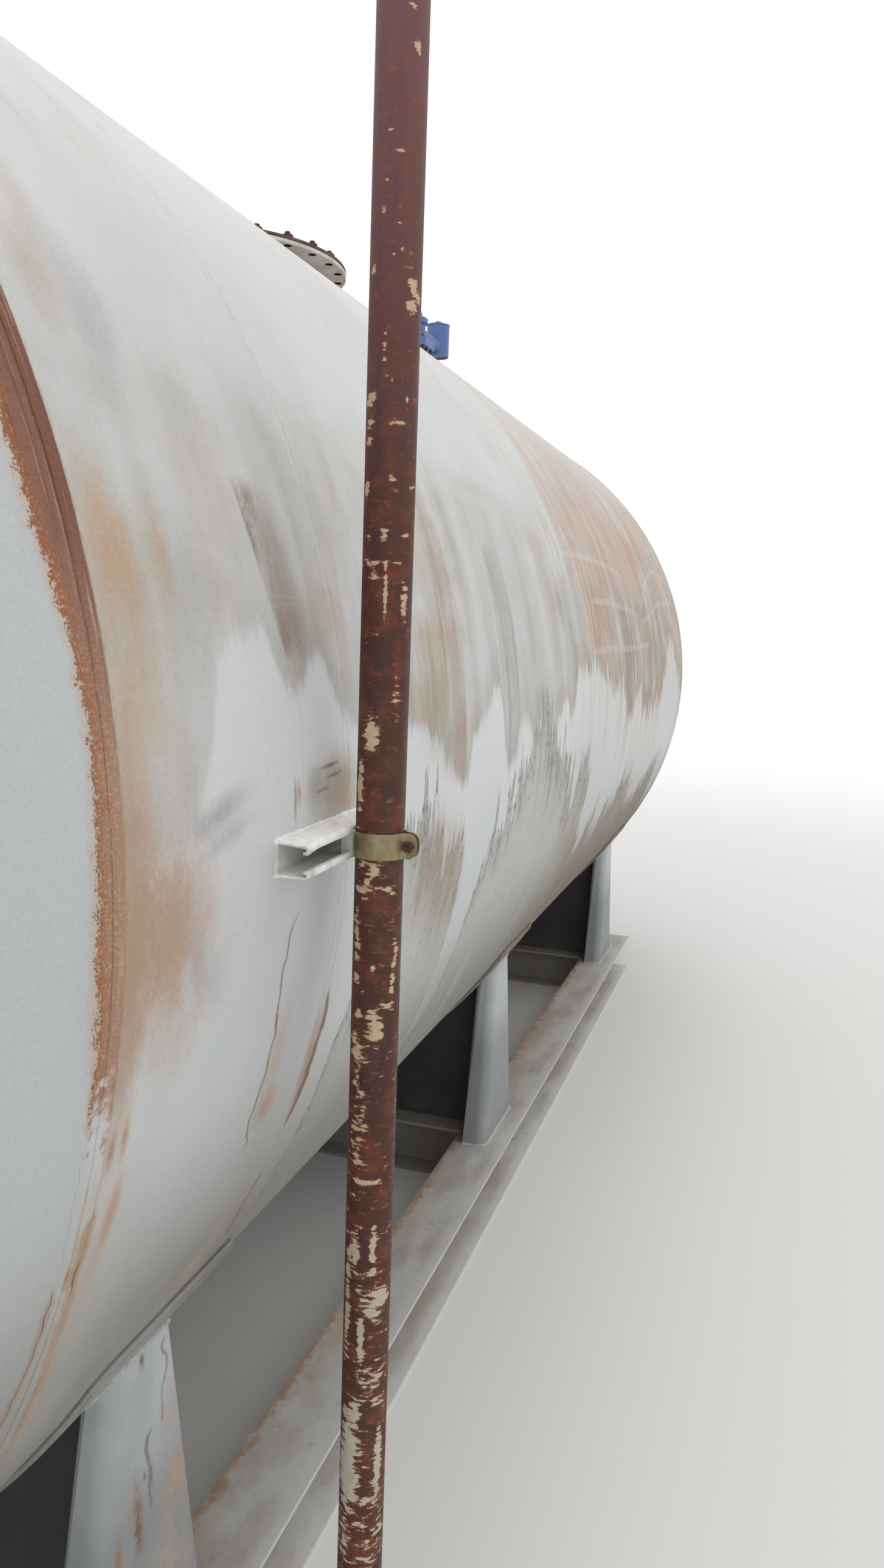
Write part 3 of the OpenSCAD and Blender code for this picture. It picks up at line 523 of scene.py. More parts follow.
def weathered_tank(paint):
    """Chalked white alkyd enamel, sprayed over steel plate: dull, faintly orange-peeled, with
    a band of washed dirt, mildew on the lower flank and rust along the near girth seam."""
    tree, shader, where = start_material("weathered_tank_enamel")
    places = tank_places(tree, where)
    flat, wrap, angle, x = (places[k] for k in ("flat", "wrap", "angle", "x"))
    tall = add(tree, "VectorMath", {0: flat, 1: (1.0, 0.45, 1.0)}, operation="MULTIPLY")
    grip = grip_of(tree, tall, 48)
    front = add(tree, "Math", {0: 1.0, 1: places["back"]}, operation="SUBTRACT")

    # Paint: cool where it is fresh, whiter and chalky towards the crown; painted shade on the dished ends
    # and low on the flank.
    height = add(tree, "MapRange", {0: angle, 1: -5.0, 2: 50.0}, **SOFT)
    colour = coat(tree, paint.enamel, paint.chalk, height)
    faded = streaks(tree, flat, 90, 1400, 1.3, 0.3, 0.8)
    colour = coat(tree, colour, "#D6D6D4", faded, 0.35)
    # Bluer and darker on the dished ends: cleaner paint, with painted shade.
    end = add(tree, "MapRange", {0: places["reach"], 1: SEAM_X + 5 * MM, 2: SEAM_X + 30 * MM}, **SOFT)
    colour = coat(tree, colour, "#BDC2C4", end)
    # Painted shade low on the flank, strongest at the near end, and darker still under the belly.
    low_flank_shade = add(tree, "MapRange", {0: angle, 1: -6.0, 2: -34.0, 4: 0.95}, **SOFT)
    near_low = add(tree, "MapRange", {0: x, 1: -1.9, 2: -2.4, 3: 0.55, 4: 1.0}, **SOFT)
    colour = coat(tree, colour, "#A3A29B", low_flank_shade, near_low)
    belly_shade = add(tree, "MapRange", {0: angle, 1: -12.0, 2: -32.0, 4: 0.85}, **SOFT)
    colour = coat(tree, colour, "#75716B", belly_shade)
    dull = clouds(tree, flat, 420, 0.42, 0.72, 3.0, 2.0)
    colour = coat(tree, colour, "#B7B8B8", dull, 0.35)
    crown = add(tree, "MapRange", {0: angle, 1: 24.0, 2: 34.0}, **SOFT)
    marks = clouds(tree, tall, 150, 0.5, 0.78, 4.0, 14.0)
    colour = coat(tree, colour, "#B9B2AC", marks, crown, 0.55)

    # Dirty band between its straight upper edge and its scalloped lower edge.
    right = add(tree, "MapRange", {0: x, 1: -0.6, 2: 0.5}, **SOFT)
    top = add(tree, "MapRange", {0: right, 3: 29.0, 4: 52.0})
    blur = add(tree, "MapRange", {0: right, 3: 7.0, 4: 26.0})
    under = add(tree, "Math", {0: top, 1: angle}, operation="SUBTRACT")
    under = add(tree, "MapRange", {0: under, 1: 0.0, 2: blur}, **SOFT)
    torn = add(tree, "MapRange", {0: right, 3: 1.2, 4: 5.0})
    gap = front_gap(tree, places, GRIME_EDGE, torn, seed=4.0, long=700)
    soft = add(tree, "MapRange", {0: x, 1: -2.20, 2: -2.06, 3: 6.0, 4: 0.6}, **SOFT)
    firm = add(tree, "Math", {0: soft, 1: -1.0}, operation="MULTIPLY")
    kept = add(tree, "MapRange", {0: gap, 1: soft, 2: firm}, **SOFT)
    shell_only = add(tree, "MapRange", {0: x, 1: -SEAM_X - 10 * MM, 2: -SEAM_X + 10 * MM}, **SOFT)
    dished = add(tree, "MapRange", {0: places["reach"], 1: SEAM_X + 20 * MM, 2: SEAM_X + 240 * MM,
                                    3: 1.0, 4: 0.0}, **SOFT)
    shell_only = add(tree, "Math", {0: shell_only, 1: dished}, operation="MULTIPLY")
    band = product(tree, under, kept, shell_only)
    columns = streaks(tree, flat, 120, 2600, 7.0, 0.36, 0.64, 2.0)
    runs = streaks(tree, flat, 30, 700, 2.0, 0.3, 0.7, 4.0)
    mottle = clouds(tree, flat, 110, 0.35, 0.65, 4.0, 5.0)
    density = 0.1
    for part, share in ((runs, 0.22), (columns, 0.45), (mottle, 0.38)):
        density = add(tree, "Math", {0: part, 1: share, 2: density}, operation="MULTIPLY_ADD")
    weight = read_off(tree, x, GRIME_WEIGHT, floor=0.0, ceiling=1.0)
    tide = add(tree, "MapRange", {0: gap, 1: -4.5, 2: -0.4, 4: 0.45}, **SOFT)
    density = add(tree, "Math", {0: density, 1: tide}, operation="ADD")
    grime = add(tree, "Math", {0: density, 1: weight}, operation="MULTIPLY")
    grime = add(tree, "Math", {0: grime, 1: band}, operation="MULTIPLY", use_clamp=True)
    dirt = coat(tree, "#A6A298", "#A39482", right)
    tan = clouds(tree, tall, 200, 0.42, 0.62, 3.0, 9.0)
    pinker = add(tree, "MapRange", {0: angle, 1: 12.0, 2: 26.0}, **SOFT)
    dirt = coat(tree, dirt, "#BBA296", pinker, right)
    dirt = coat(tree, dirt, paint.dirt, tan, 0.6)
    colour = coat(tree, colour, dirt, grime)
    washed = add(tree, "MapRange", {0: gap, 1: 0.2, 2: 1.4}, **SOFT)
    lower = add(tree, "MapRange", {0: gap, 1: 16.0, 2: 3.0, 4: 0.7}, **SOFT)
    colour = coat(tree, colour, "#D6D9D9", washed, lower, shell_only)
    trail = add(tree, "MapRange", {0: gap, 1: 20.0, 2: 0.0, 4: 0.75}, **SOFT)
    colour = coat(tree, colour, "#B4A799", trail, right, runs, shell_only)

    # Mildew below its torn edge: darkest and speckled at the front, browner to the right.
    gap = front_gap(tree, places, MILDEW_EDGE, 6.5, seed=9.0, long=240)
    mildew = add(tree, "MapRange", {0: gap, 1: -1.0, 2: 1.0}, **SOFT)
    mildew = add(tree, "Math", {0: mildew, 1: dished}, operation="MULTIPLY")
    brown = add(tree, "MapRange", {0: x, 1: -0.45, 2: 0.15}, **SOFT)
    inner = coat(tree, paint.mildew, "#A19587", brown)
    outer = coat(tree, "#84867E", "#8F8478", brown)
    rim = add(tree, "MapRange", {0: gap, 1: 8.0, 2: 0.8}, **SOFT)
    flecked = add(tree, "Math", {0: runs, 1: 0.7, 2: 0.25}, operation="MULTIPLY_ADD")
    growth = coat(tree, inner, outer, flecked, rim)
    # Darker lower down the flank: heavier growth, with painted shade of the underside.
    under = add(tree, "MapRange", {0: angle, 1: -12.0, 2: -30.0, 4: 0.85}, **SOFT)
    deep = coat(tree, "#83817A", "#807263", brown)
    growth = coat(tree, growth, deep, under)
    bare = streaks(tree, flat, 26, 420, 15.0, 0.52, 0.72, 3.0)
    growth = coat(tree, growth, "#C3C3BD", bare, 0.45)
    patchy = add(tree, "Math", {0: mottle, 1: 0.3, 2: 0.6}, operation="MULTIPLY_ADD")
    colour = coat(tree, colour, growth, mildew, patchy)
    specks = streaks(tree, flat, 8, 18, 21.0, 0.54, 0.64, 2.0)
    rare = add(tree, "Math", {0: rim, 1: 0.75, 2: 0.12}, operation="MULTIPLY_ADD")
    colour = coat(tree, colour, "#60625B", specks, rare, mildew, 0.9)

    # Named patches: run-off of the manway, dirt beside the seam, smears under the bracket.
    smooth = add(tree, "Math", {0: grip, 1: 0.5, 2: 0.45}, operation="MULTIPLY_ADD")
    kept_grip = add(tree, "Math", {0: smooth, 1: kept}, operation="MULTIPLY")
    runny = add(tree, "MapRange", {0: runs, 3: 0.55, 4: 1.25})
    runny_grip = add(tree, "Math", {0: kept_grip, 1: runny}, operation="MULTIPLY")
    for spot_x, at, half_x, half_at, lean, strength, tint in PATCHES:
        near_end = spot_x < -1.5
        if at < 4 or near_end and at > 20:
            hold = smooth
        elif near_end or at > 22:
            hold = kept_grip
        else:
            hold = runny_grip
        spot = (spot_x, at * ARC_PER_DEGREE, half_x, half_at * ARC_PER_DEGREE, lean)
        cover = stain(tree, flat if near_end else wrap, hold, spot, strength)
        colour = coat(tree, colour, tint, cover)
    for line, reach, strength, tint in LEES:
        cover = lee_side(tree, angle, x, line, reach, fade=1.5)
        colour = coat(tree, colour, tint, cover, front, grip, strength)
    for line in SWIRLS:
        if abs(line[-1][0] - line[0][0]) > 0.15:  # it runs along the tank, otherwise round it
            cover = drawn_line(tree, x, angle, line, 0.5, fade=0.2, span=45.0)
        else:
            cover = drawn_line(tree, angle, x, sorted((b, a) for a, b in line), 7 * MM, fade=2.0)
        colour = coat(tree, colour, "#D3CDC7", cover, 0.3)

    # Rust along the near seam: sharp against the shell, speckled and orange on the head.
    seam = add(tree, "Math", {0: places["true_x"], 1: SEAM_X}, operation="ADD")
    width = read_off(tree, angle, SEAM_RUST_WIDTH, floor=0.0, ceiling=0.1)
    nibble = clouds(tree, where, 16, 0.25, 0.75, 4.0, 3.0)
    inside = add(tree, "Math", {0: seam, 1: width}, operation="ADD")
    inside = add(tree, "Math", {0: nibble, 1: 10 * MM, 2: inside}, operation="MULTIPLY_ADD")
    solid = add(tree, "MapRange", {0: inside, 1: -4 * MM, 2: 16 * MM, 4: 1.35}, **SOFT)
    dots = clouds(tree, where, 2.8, 0.28, 0.72, 2.0, 13.0)
    ragged = add(tree, "Math", {0: solid, 1: dots}, operation="ADD")
    ragged = add(tree, "MapRange", {0: ragged, 1: 1.02, 2: 1.28}, **SOFT)
    crisp = add(tree, "MapRange", {0: seam, 1: 12 * MM, 2: 9 * MM}, **SOFT)
    low = add(tree, "Math", {0: nibble, 1: 6.0, 2: angle}, operation="MULTIPLY_ADD")
    low = add(tree, "MapRange", {0: low, 1: -7.5, 2: -4.0}, **SOFT)
    behind = add(tree, "MapRange", {0: angle, 1: 30.0, 2: 62.0}, **SOFT)
    behind = add(tree, "Math", {0: behind, 1: front}, operation="MAXIMUM")
    here = product(tree, crisp, low, behind)
    rust = add(tree, "Math", {0: ragged, 1: here}, operation="MULTIPLY")
    halo = add(tree, "MapRange", {0: inside, 1: -12 * MM, 2: 5 * MM, 4: 0.55}, **SOFT)
    colour = coat(tree, colour, "#BFA48A", halo, here)
    ripple = streaks(tree, flat, 9, 700, 31.0, 0.3, 0.7, 3.0)
    sandy = add(tree, "MapRange", {0: angle, 1: 17.0, 2: 4.0, 4: 0.7}, **SOFT)
    steel = coat(tree, paint.rust, "#8C604E", ripple)
    steel = coat(tree, steel, "#B5947B", sandy)
    fringe = add(tree, "MapRange", {0: inside, 1: 26 * MM, 2: 6 * MM, 4: 0.85}, **SOFT)
    steel = coat(tree, steel, "#A0623C", fringe)
    pale = streaks(tree, flat, 5, 160, 17.0, 0.55, 0.68, 3.0)
    bare = add(tree, "MapRange", {0: inside, 1: 24 * MM, 2: 40 * MM, 3: 0.05, 4: 0.6}, **SOFT)
    steel = coat(tree, steel, "#C3A792", pale, bare)
    grit = clouds(tree, where, 3.2, 0.53, 0.66, 2.0, 4.0)
    gritty = add(tree, "Math", {0: fringe, 1: sandy}, operation="MAXIMUM")
    steel = coat(tree, steel, "#CDA682", grit, gritty)
    colour = coat(tree, colour, steel, rust)

    # Cracks, and the pencil of rust that each one weeps.
    sway = add(tree, "TexNoise", {"Vector": flat, "Scale": per_mm(32), "Detail": 2.0})
    sway = add(tree, "MapRange", {0: sway, 3: -9 * MM, 4: 9 * MM})
    cracked = None
    for crack_mm, weep_mm, wept, tint, line in CRACKS:
        mark, weep = (drawn_line(tree, angle, x, line, half_mm * MM, fade=1.2, wander=sway)
                      for half_mm in (crack_mm, weep_mm))
        colour = coat(tree, colour, tint, weep, grip, front, wept)
        mark = product(tree, mark, front, 0.85)
        colour = coat(tree, colour, "#64493A", mark)
        if cracked is not None:
            mark = add(tree, "Math", {0: cracked, 1: mark}, operation="MAXIMUM")
        cracked = mark

    # Spray grain of the paint, about 3 mm, in tone and in relief.
    grain = paint_grain(tree, where)
    tone = add(tree, "MapRange", {0: grain, 3: 0.955, 4: 1.035})
    colour = add(tree, "VectorMath", {0: colour, "Scale": tone}, operation="SCALE")
    rough = add(tree, "Math", {0: grime, 1: mildew}, operation="MAXIMUM")
    rough = add(tree, "Math", {0: rough, 1: rust}, operation="MAXIMUM")
    rough = add(tree, "MapRange", {0: rough, 3: 0.46, 4: 0.85})
    pits = clouds(tree, where, 5, 0.35, 0.65, 2.0, 6.0)
    step = add(tree, "Math", {0: ripple, 1: pits}, operation="ADD")
    step = add(tree, "Math", {0: step, 1: rust}, operation="MULTIPLY")
    step = add(tree, "Math", {0: step, 1: cracked}, operation="SUBTRACT")
    finish(tree, shader, colour, rough, step, 0.7 * MM, grain)


# Runs down the face of the near saddle post, as (height, x from the middle of the post), with
# their half width in millimetres; and patches as (x, height, half sizes, lean, strength, colour).
POST_RUNS = [
    ([(0.535, 0.030), (0.551, 0.034), (0.591, 0.035), (0.623, 0.047), (0.656, 0.036), (0.672, 0.050)],
     3.4, "#8D8886"),
    ([(0.425, 0.006), (0.466, -0.001), (0.484, 0.003), (0.512, -0.004), (0.535, -0.008), (0.556, 0.012)],
     3.6, "#7F756E"),
    ([(0.40, 0.020), (0.44, 0.012), (0.47, 0.006)], 3.0, "#9A9493"),
]
POST_PATCHES = [
    (-0.016, 0.665, 0.010, 0.024, 0, 0.95, "#6B5646"), (-0.008, 0.684, 0.007, 0.008, 0, 0.9, "#5E4838"),
    (0.002, 0.48, 0.014, 0.03, 0, 0.7, "#756658"), (-0.006, 0.535, 0.008, 0.03, 0, 0.6, "#6E6157"),
    (-0.030, 0.435, 0.022, 0.10, 4, 0.95, "#8F6C50"), (-0.030, 0.42, 0.013, 0.05, 0, 0.8, "#6F4F3A"),
    (-0.050, 0.465, 0.008, 0.045, 0, 0.7, "#A18669"), (-0.077, 0.41, 0.014, 0.07, 0, 0.9, "#97734F"),
    (-0.055, 0.35, 0.02, 0.06, 0, 0.7, "#9C7A5C"), (-0.013, 0.49, 0.006, 0.012, 0, 0.8, "#6E5F55"),
    (0.063, 0.545, 0.05, 0.09, 0, 0.6, "#B7A092"), (0.075, 0.43, 0.08, 0.07, -30, 0.75, "#B89A80"),
    (0.05, 0.31, 0.09, 0.14, 0, 0.6, "#B8A08C"), (0.03, 0.38, 0.03, 0.08, 0, 0.55, "#9C9898"),
    (-0.085, 0.70, 0.030, 0.014, 0, 1.0, "#3F3D3B"), (0.0, 0.25, 0.16, 0.12, 0, 0.5, "#B6A596"),
]


def saddle_paint(paint):
    """White enamel brushed on the saddle posts: smooth, with grey and brown runs from the pad
    down the face of the near one and soft tan patches of rust showing through."""
    tree, shader, where = start_material("saddle_enamel")
    at_x, at_y, at_z = add(tree, "SeparateXYZ", {0: where}, out=None).outputs
    pitch = SADDLE_X[2] - SADDLE_X[1]
    across = add(tree, "Math", {0: at_x, 1: pitch / 2, 2: -pitch / 2}, operation="WRAP")
    first = add(tree, "Math", {0: at_x, 1: -pitch / 2}, operation="GREATER_THAN")
    other = add(tree, "Math", {0: at_y, 1: -0.9}, operation="GREATER_THAN")
    other = add(tree, "Math", {0: first, 1: other}, operation="MAXIMUM")
    plane = add(tree, "CombineXYZ", {0: across, 1: at_z, 2: other})
    grip = grip_of(tree, where, 26, 2.0)
    shade = clouds(tree, where, 160, 0.35, 0.7, 4.0, 1.0)
    colour = coat(tree, "#BCC2C5", "#AAAFB2", shade)
    # Darker grey towards the foot of the posts: painted shade.
    foot = add(tree, "MapRange", {0: at_z, 1: 0.60, 2: 0.40, 4: 0.75}, **SOFT)
    colour = coat(tree, colour, "#7D8183", foot)
    rust = clouds(tree, where, 130, 0.6, 0.78, 5.0, 4.0)
    colour = coat(tree, colour, "#B99F8B", rust, 0.55)
    for *spot, strength, tint in POST_PATCHES:
        colour = coat(tree, colour, tint, stain(tree, plane, grip, spot, strength))
    sway = add(tree, "TexNoise", {"Vector": where, "Scale": per_mm(16), "Detail": 4.0})
    sway = add(tree, "MapRange", {0: sway, 3: -7 * MM, 4: 7 * MM})
    near = add(tree, "Math", {0: 1.0, 1: other}, operation="SUBTRACT")
    for line, half_mm, tint in POST_RUNS:
        cover = drawn_line(tree, at_z, across, line, half_mm * MM, fade=12 * MM, wander=sway, span=1.0)
        colour = coat(tree, colour, tint, cover, near, 0.8)
    finish(tree, shader, colour, 0.5, clouds(tree, where, 25, 0.3, 0.7, 3.0), 0.2 * MM,
           paint_grain(tree, where))


def grey_web(paint):
    """Grey primer on the webs, out of the rain: flat, evenly dark, with painted shade of the space under the
    tank, dusty at the foot.
    """
    tree, shader, where = start_material("web_primer")
    dust = clouds(tree, where, 240, 0.35, 0.75, 5.0, 2.0)
    # The dark primer also stands for painted shade under the tank.
    colour = coat(tree, paint.primer, "#55565A", dust, 0.3)
    height = add(tree, "SeparateXYZ", {0: where}, out=2)
    splash = add(tree, "MapRange", {0: height, 1: 0.26, 2: 0.15, 4: 0.5}, **SOFT)
    drops = clouds(tree, where, 45, 0.35, 0.65, 5.0, 5.0)
    colour = coat(tree, colour, "#6A6258", splash, drops)
    finish(tree, shader, colour, 0.7, drops, 0.06 * MM, paint_grain(tree, where))


def skid_paint(paint):
    """Grey-white enamel on rolled beams: tan and grey smears on the flat, soft rust along the
    edge that faces the tank, cleaner towards the outside."""
    tree, shader, where = start_material("skid_enamel")
    at_y = add(tree, "SeparateXYZ", {0: where}, out=1)
    side = add(tree, "Math", {0: at_y}, operation="ABSOLUTE")
    long = add(tree, "VectorMath", {0: where, 1: (0.45, 1.0, 1.0)}, operation="MULTIPLY")
    mottle = clouds(tree, long, 90, 0.35, 0.65, 6.0, 3.0)
    colour = coat(tree, "#C1C1BD", "#ADA69E", mottle)
    low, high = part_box("skid_beam_left")
    middle, half = (low[1] + high[1]) / 2, (high[1] - low[1]) / 2
    off = add(tree, "Math", {0: side, 1: middle}, operation="SUBTRACT")
    beam = add(tree, "Math", {0: off, 1: -half - 2 * MM}, operation="GREATER_THAN")
    inner = add(tree, "MapRange", {0: off, 1: 0.02, 2: -0.06}, **SOFT)
    tan = clouds(tree, long, 170, 0.42, 0.62, 5.0, 9.0)
    colour = coat(tree, colour, paint.dirt, tan, inner, 0.7)
    edge = clouds(tree, where, 30, 0.3, 0.7, 6.0, 4.0)
    edge = add(tree, "Math", {0: edge, 1: 26 * MM, 2: off}, operation="MULTIPLY_ADD")
    edge = add(tree, "MapRange", {0: edge, 1: -42 * MM, 2: -62 * MM, 4: 0.7}, **SOFT)
    colour = coat(tree, colour, "#9C7858", edge, beam)
    soil = clouds(tree, where, 38, 0.6, 0.72, 6.0, 12.0)
    colour = coat(tree, colour, "#827A70", soil, 0.5)
    clean = add(tree, "MapRange", {0: off, 1: 0.04, 2: 0.07, 4: 0.6}, **SOFT)
    colour = coat(tree, colour, "#CFD1D0", clean)
    # Darker grey on the cross beams between the skids: painted shade under the tank.
    under_tank_shade = add(tree, "Math", {0: 1.0, 1: beam}, operation="SUBTRACT")
    colour = coat(tree, colour, "#8D8B86", under_tank_shade, 0.75)
    finish(tree, shader, colour, 0.62, clouds(tree, where, 14, 0.3, 0.7, 4.0), 0.25 * MM,
           paint_grain(tree, where))


def manway_mount():
    """The record's mount for the manway bolts: place, circle and count."""
    return next(m for m in frame["record"]["mounts"] if m["name"] == "manway_bolts")


def manway_paint(paint):
    """Off-white enamel of the manway ring, greyed by shade, dark and rusty in its bolt holes."""
    tree, shader, where = start_material("manway_enamel")
    # Grey mottle of the ring: grime, with painted shade.
    grime = clouds(tree, where, 80, 0.35, 0.7, 5.0, 2.0)
    colour = coat(tree, "#D2CFC8", "#B4ADA6", grime)
    spots = clouds(tree, where, 18, 0.6, 0.7, 4.0, 6.0)
    colour = coat(tree, colour, "#8A6A58", spots, 0.5)
    mount = manway_mount()
    circle, step = mount["dims"]["pcd_mm"] * MM / 2, 2 * math.pi / mount["dims"]["count"]
    local = add(tree, "VectorMath", {0: where, 1: tuple(mount["pos_m"])}, operation="SUBTRACT")
    at_x, at_y, _ = add(tree, "SeparateXYZ", {0: local}, out=None).outputs
    turn = add(tree, "Math", {0: at_y, 1: at_x}, operation="ARCTAN2")
    turn = add(tree, "Math", {0: turn, 1: step / 2, 2: -step / 2}, operation="WRAP")
    arc = add(tree, "Math", {0: turn, 1: circle}, operation="MULTIPLY")
    level = add(tree, "CombineXYZ", {0: at_x, 1: at_y})
    out = add(tree, "VectorMath", {0: level}, out=1, operation="LENGTH")
    out = add(tree, "Math", {0: out, 1: circle}, operation="SUBTRACT")
    rim = add(tree, "CombineXYZ", {0: out, 1: arc})
    away = add(tree, "VectorMath", {0: rim}, out=1, operation="LENGTH")
    bore = mount["dims"]["hole_r_mm"] * MM
    bleed = add(tree, "MapRange", {0: away, 1: bore + 7 * MM, 2: bore + 1 * MM, 4: 0.6}, **SOFT)
    colour = coat(tree, colour, "#7E6152", bleed, grime)
    deep = add(tree, "MapRange", {0: away, 1: bore + 1.2 * MM, 2: bore + 0.4 * MM})
    colour = coat(tree, colour, "#33211D", deep)
    finish(tree, shader, colour, 0.6, grime, 0.3 * MM, paint_grain(tree, where))


def rusted_plate(name, dark, light, scale_mm):
    """Bare steel rusted through in the open: dark maroon scale with lighter bloom."""
    tree, shader, where = start_material(name)
    bloom = clouds(tree, where, scale_mm, 0.35, 0.68, 6.0, 2.0)
    colour = coat(tree, dark, light, bloom)
    flakes = clouds(tree, where, scale_mm / 6, 0.55, 0.68, 4.0, 5.0)
    colour = coat(tree, colour, "#916549", flakes, 0.3)
    finish(tree, shader, colour, 0.88, clouds(tree, where, scale_mm / 8, 0.3, 0.7, 5.0), 0.5 * MM)


def rubber_gasket(paint):
    """Weathered neoprene sheet between the manway ring and its cover: grey-black, chalky."""
    tree, shader, where = start_material("gasket_rubber")
    bloom = clouds(tree, where, 12, 0.3, 0.8, 4.0)
    colour = coat(tree, "#2A2726", "#3D3735", bloom)
    finish(tree, shader, colour, 0.8, clouds(tree, where, 4, 0.3, 0.7, 3.0), 0.1 * MM)


def blue_valve(paint):
    """Blue enamel on the cast valve: semi-gloss, paler on faces that turn upward, dusty, with a few chips.
    """
    tree, shader, where = start_material("valve_blue_enamel")
    normal = add(tree, "NewGeometry", out=1)
    upward = add(tree, "SeparateXYZ", {0: normal}, out=2)
    # Paler on faces that turn upward, by their normal.
    faded = add(tree, "MapRange", {0: upward, 1: 0.2, 2: 1.0, 3: 0.08, 4: 0.4}, **SOFT)
    colour = coat(tree, paint.valve, "#7583B4", faded)
    dust = clouds(tree, where, 40, 0.4, 0.7, 5.0, 3.0)
    colour = coat(tree, colour, "#7C8088", dust, 0.22)
    chips = clouds(tree, where, 7, 0.66, 0.7, 4.0, 8.0)
    colour = coat(tree, colour, "#4A4348", chips)
    finish(tree, shader, colour, 0.4, clouds(tree, where, 9, 0.3, 0.7, 4.0), 0.15 * MM,
           paint_grain(tree, where, 1.5))


def steel_screen(paint):
    """Galvanised perforated sheet in the mouth of the hood: dull grey metal."""
    tree, shader, where = start_material("screen_zinc")
    spangle = add(tree, "TexVoronoi", {"Vector": where, "Scale": per_mm(6)}, out=1)
    tone = add(tree, "SeparateXYZ", {0: spangle})
    colour = coat(tree, "#7D8086", "#9A9DA2", tone)
    join(tree, shader, {"Base Color": colour, "Metallic": 0.8, "Roughness": 0.55})


# Cream paint left on the pipe: arc from the side that faces the camera, height, half arc and
# half height, all in millimetres, and how well it holds there. PIPE_HOLD is how well it holds
# everywhere, as (height in metres, share).
PIPE_HOLD = [(0.0, 0.14), (0.6, 0.12), (0.9, 0.08), (1.2, 0.05), (1.5, 0.02), (1.9, 0.0), (3.1, -0.05)]
PIPE_CREAM = [
    (12, 2337, 6, 5, 0.8), (19, 2297, 10, 7, 0.95), (1, 2316, 6, 4, 0.4), (-14, 2294, 6, 3, 0.5),
    (-11, 2211, 4, 3, 0.6), (2, 2189, 8, 3, 0.7), (-13, 2158, 3, 4, 0.6), (-16, 2128, 5, 3, 0.5),
    (2, 2130, 4, 3, 0.55), (2, 2114, 6, 3, 0.45), (-14, 2100, 4, 3, 0.5), (7, 2087, 4, 4, 0.65),
    (-3, 2080, 3, 4, 0.5), (-32, 2069, 8, 8, 0.6), (16, 2068, 10, 3, 0.4), (21, 2052, 8, 10, 1),
    (30, 2040, 10, 14, 0.95), (20, 2025, 9, 8, 1), (-11, 1996, 4, 4, 0.6), (-11, 1983, 4, 5, 0.7),
    (-10, 1968, 4, 5, 0.6), (-1, 1946, 2, 3, 0.7), (-29, 1926, 11, 8, 0.85), (18, 1926, 3, 13, 0.8),
    (8, 1899, 10, 5, 0.6), (-30, 1898, 10, 5, 0.7), (4, 1868, 10, 8, 0.35), (-31, 1879, 8, 6, 0.55),
    (-34, 1829, 6, 17, 0.8), (1, 1838, 6, 5, 0.5), (12, 1823, 7, 5, 0.5), (29, 1828, 10, 5, 0.5),
    (-27, 1771, 8, 6, 0.6), (-5, 1773, 5, 10, 0.7), (20, 1772, 7, 6, 0.5), (-22, 1740, 17, 6, 0.6),
    (10, 1742, 13, 3, 0.85), (-2, 1708, 3, 31, 1), (-18, 1726, 15, 4, 0.7), (22, 1697, 6, 30, 0.7),
    (-16, 1658, 10, 4, 0.5), (-15, 1538, 13, 23, 0.9), (-31, 1477, 8, 33, 1), (13, 1586, 7, 36, 0.3),
    (-10, 1377, 20, 15, 0.75), (-19, 1351, 14, 14, 0.7), (11, 1353, 10, 8, 0.6), (-29, 1297, 8, 34, 0.8),
    (-5, 1254, 4, 7, 1), (-28, 1240, 7, 7, 0.6), (25, 1276, 6, 22, 0.65), (22, 1234, 4, 20, 0.9),
    (20, 1203, 8, 9, 0.55), (-23, 1194, 6, 8, 0.8), (0, 1178, 11, 27, 0.9), (-25, 1149, 15, 27, 0.7),
    (-20, 1104, 14, 19, 0.4), (-20, 1048, 14, 32, 0.42), (-19, 1004, 13, 24, 0.42), (-4, 975, 28, 4, 0.8),
    (-18, 886, 8, 33, 0.85), (6, 886, 5, 30, 0.85), (-4, 852, 18, 5, 0.7), (-10, 828, 6, 7, 0.6),
    (9, 805, 19, 22, 0.85), (22, 821, 15, 14, 0.6), (-7, 756, 5, 31, 0.9), (-30, 802, 7, 91, 0.7),
    (8, 701, 21, 26, 0.45), (20, 671, 12, 9, 0.55), (-12, 658, 8, 19, 0.85), (-22, 581, 18, 64, 1.15),
    (22, 584, 7, 47, 1), (5, 529, 20, 7, 0.6), (-25, 473, 14, 44, 0.5), (16, 474, 21, 46, 0.35),
    (0, 300, 40, 120, 0.35), (-20, 180, 25, 60, 0.5), (15, 90, 20, 60, 0.4),
]


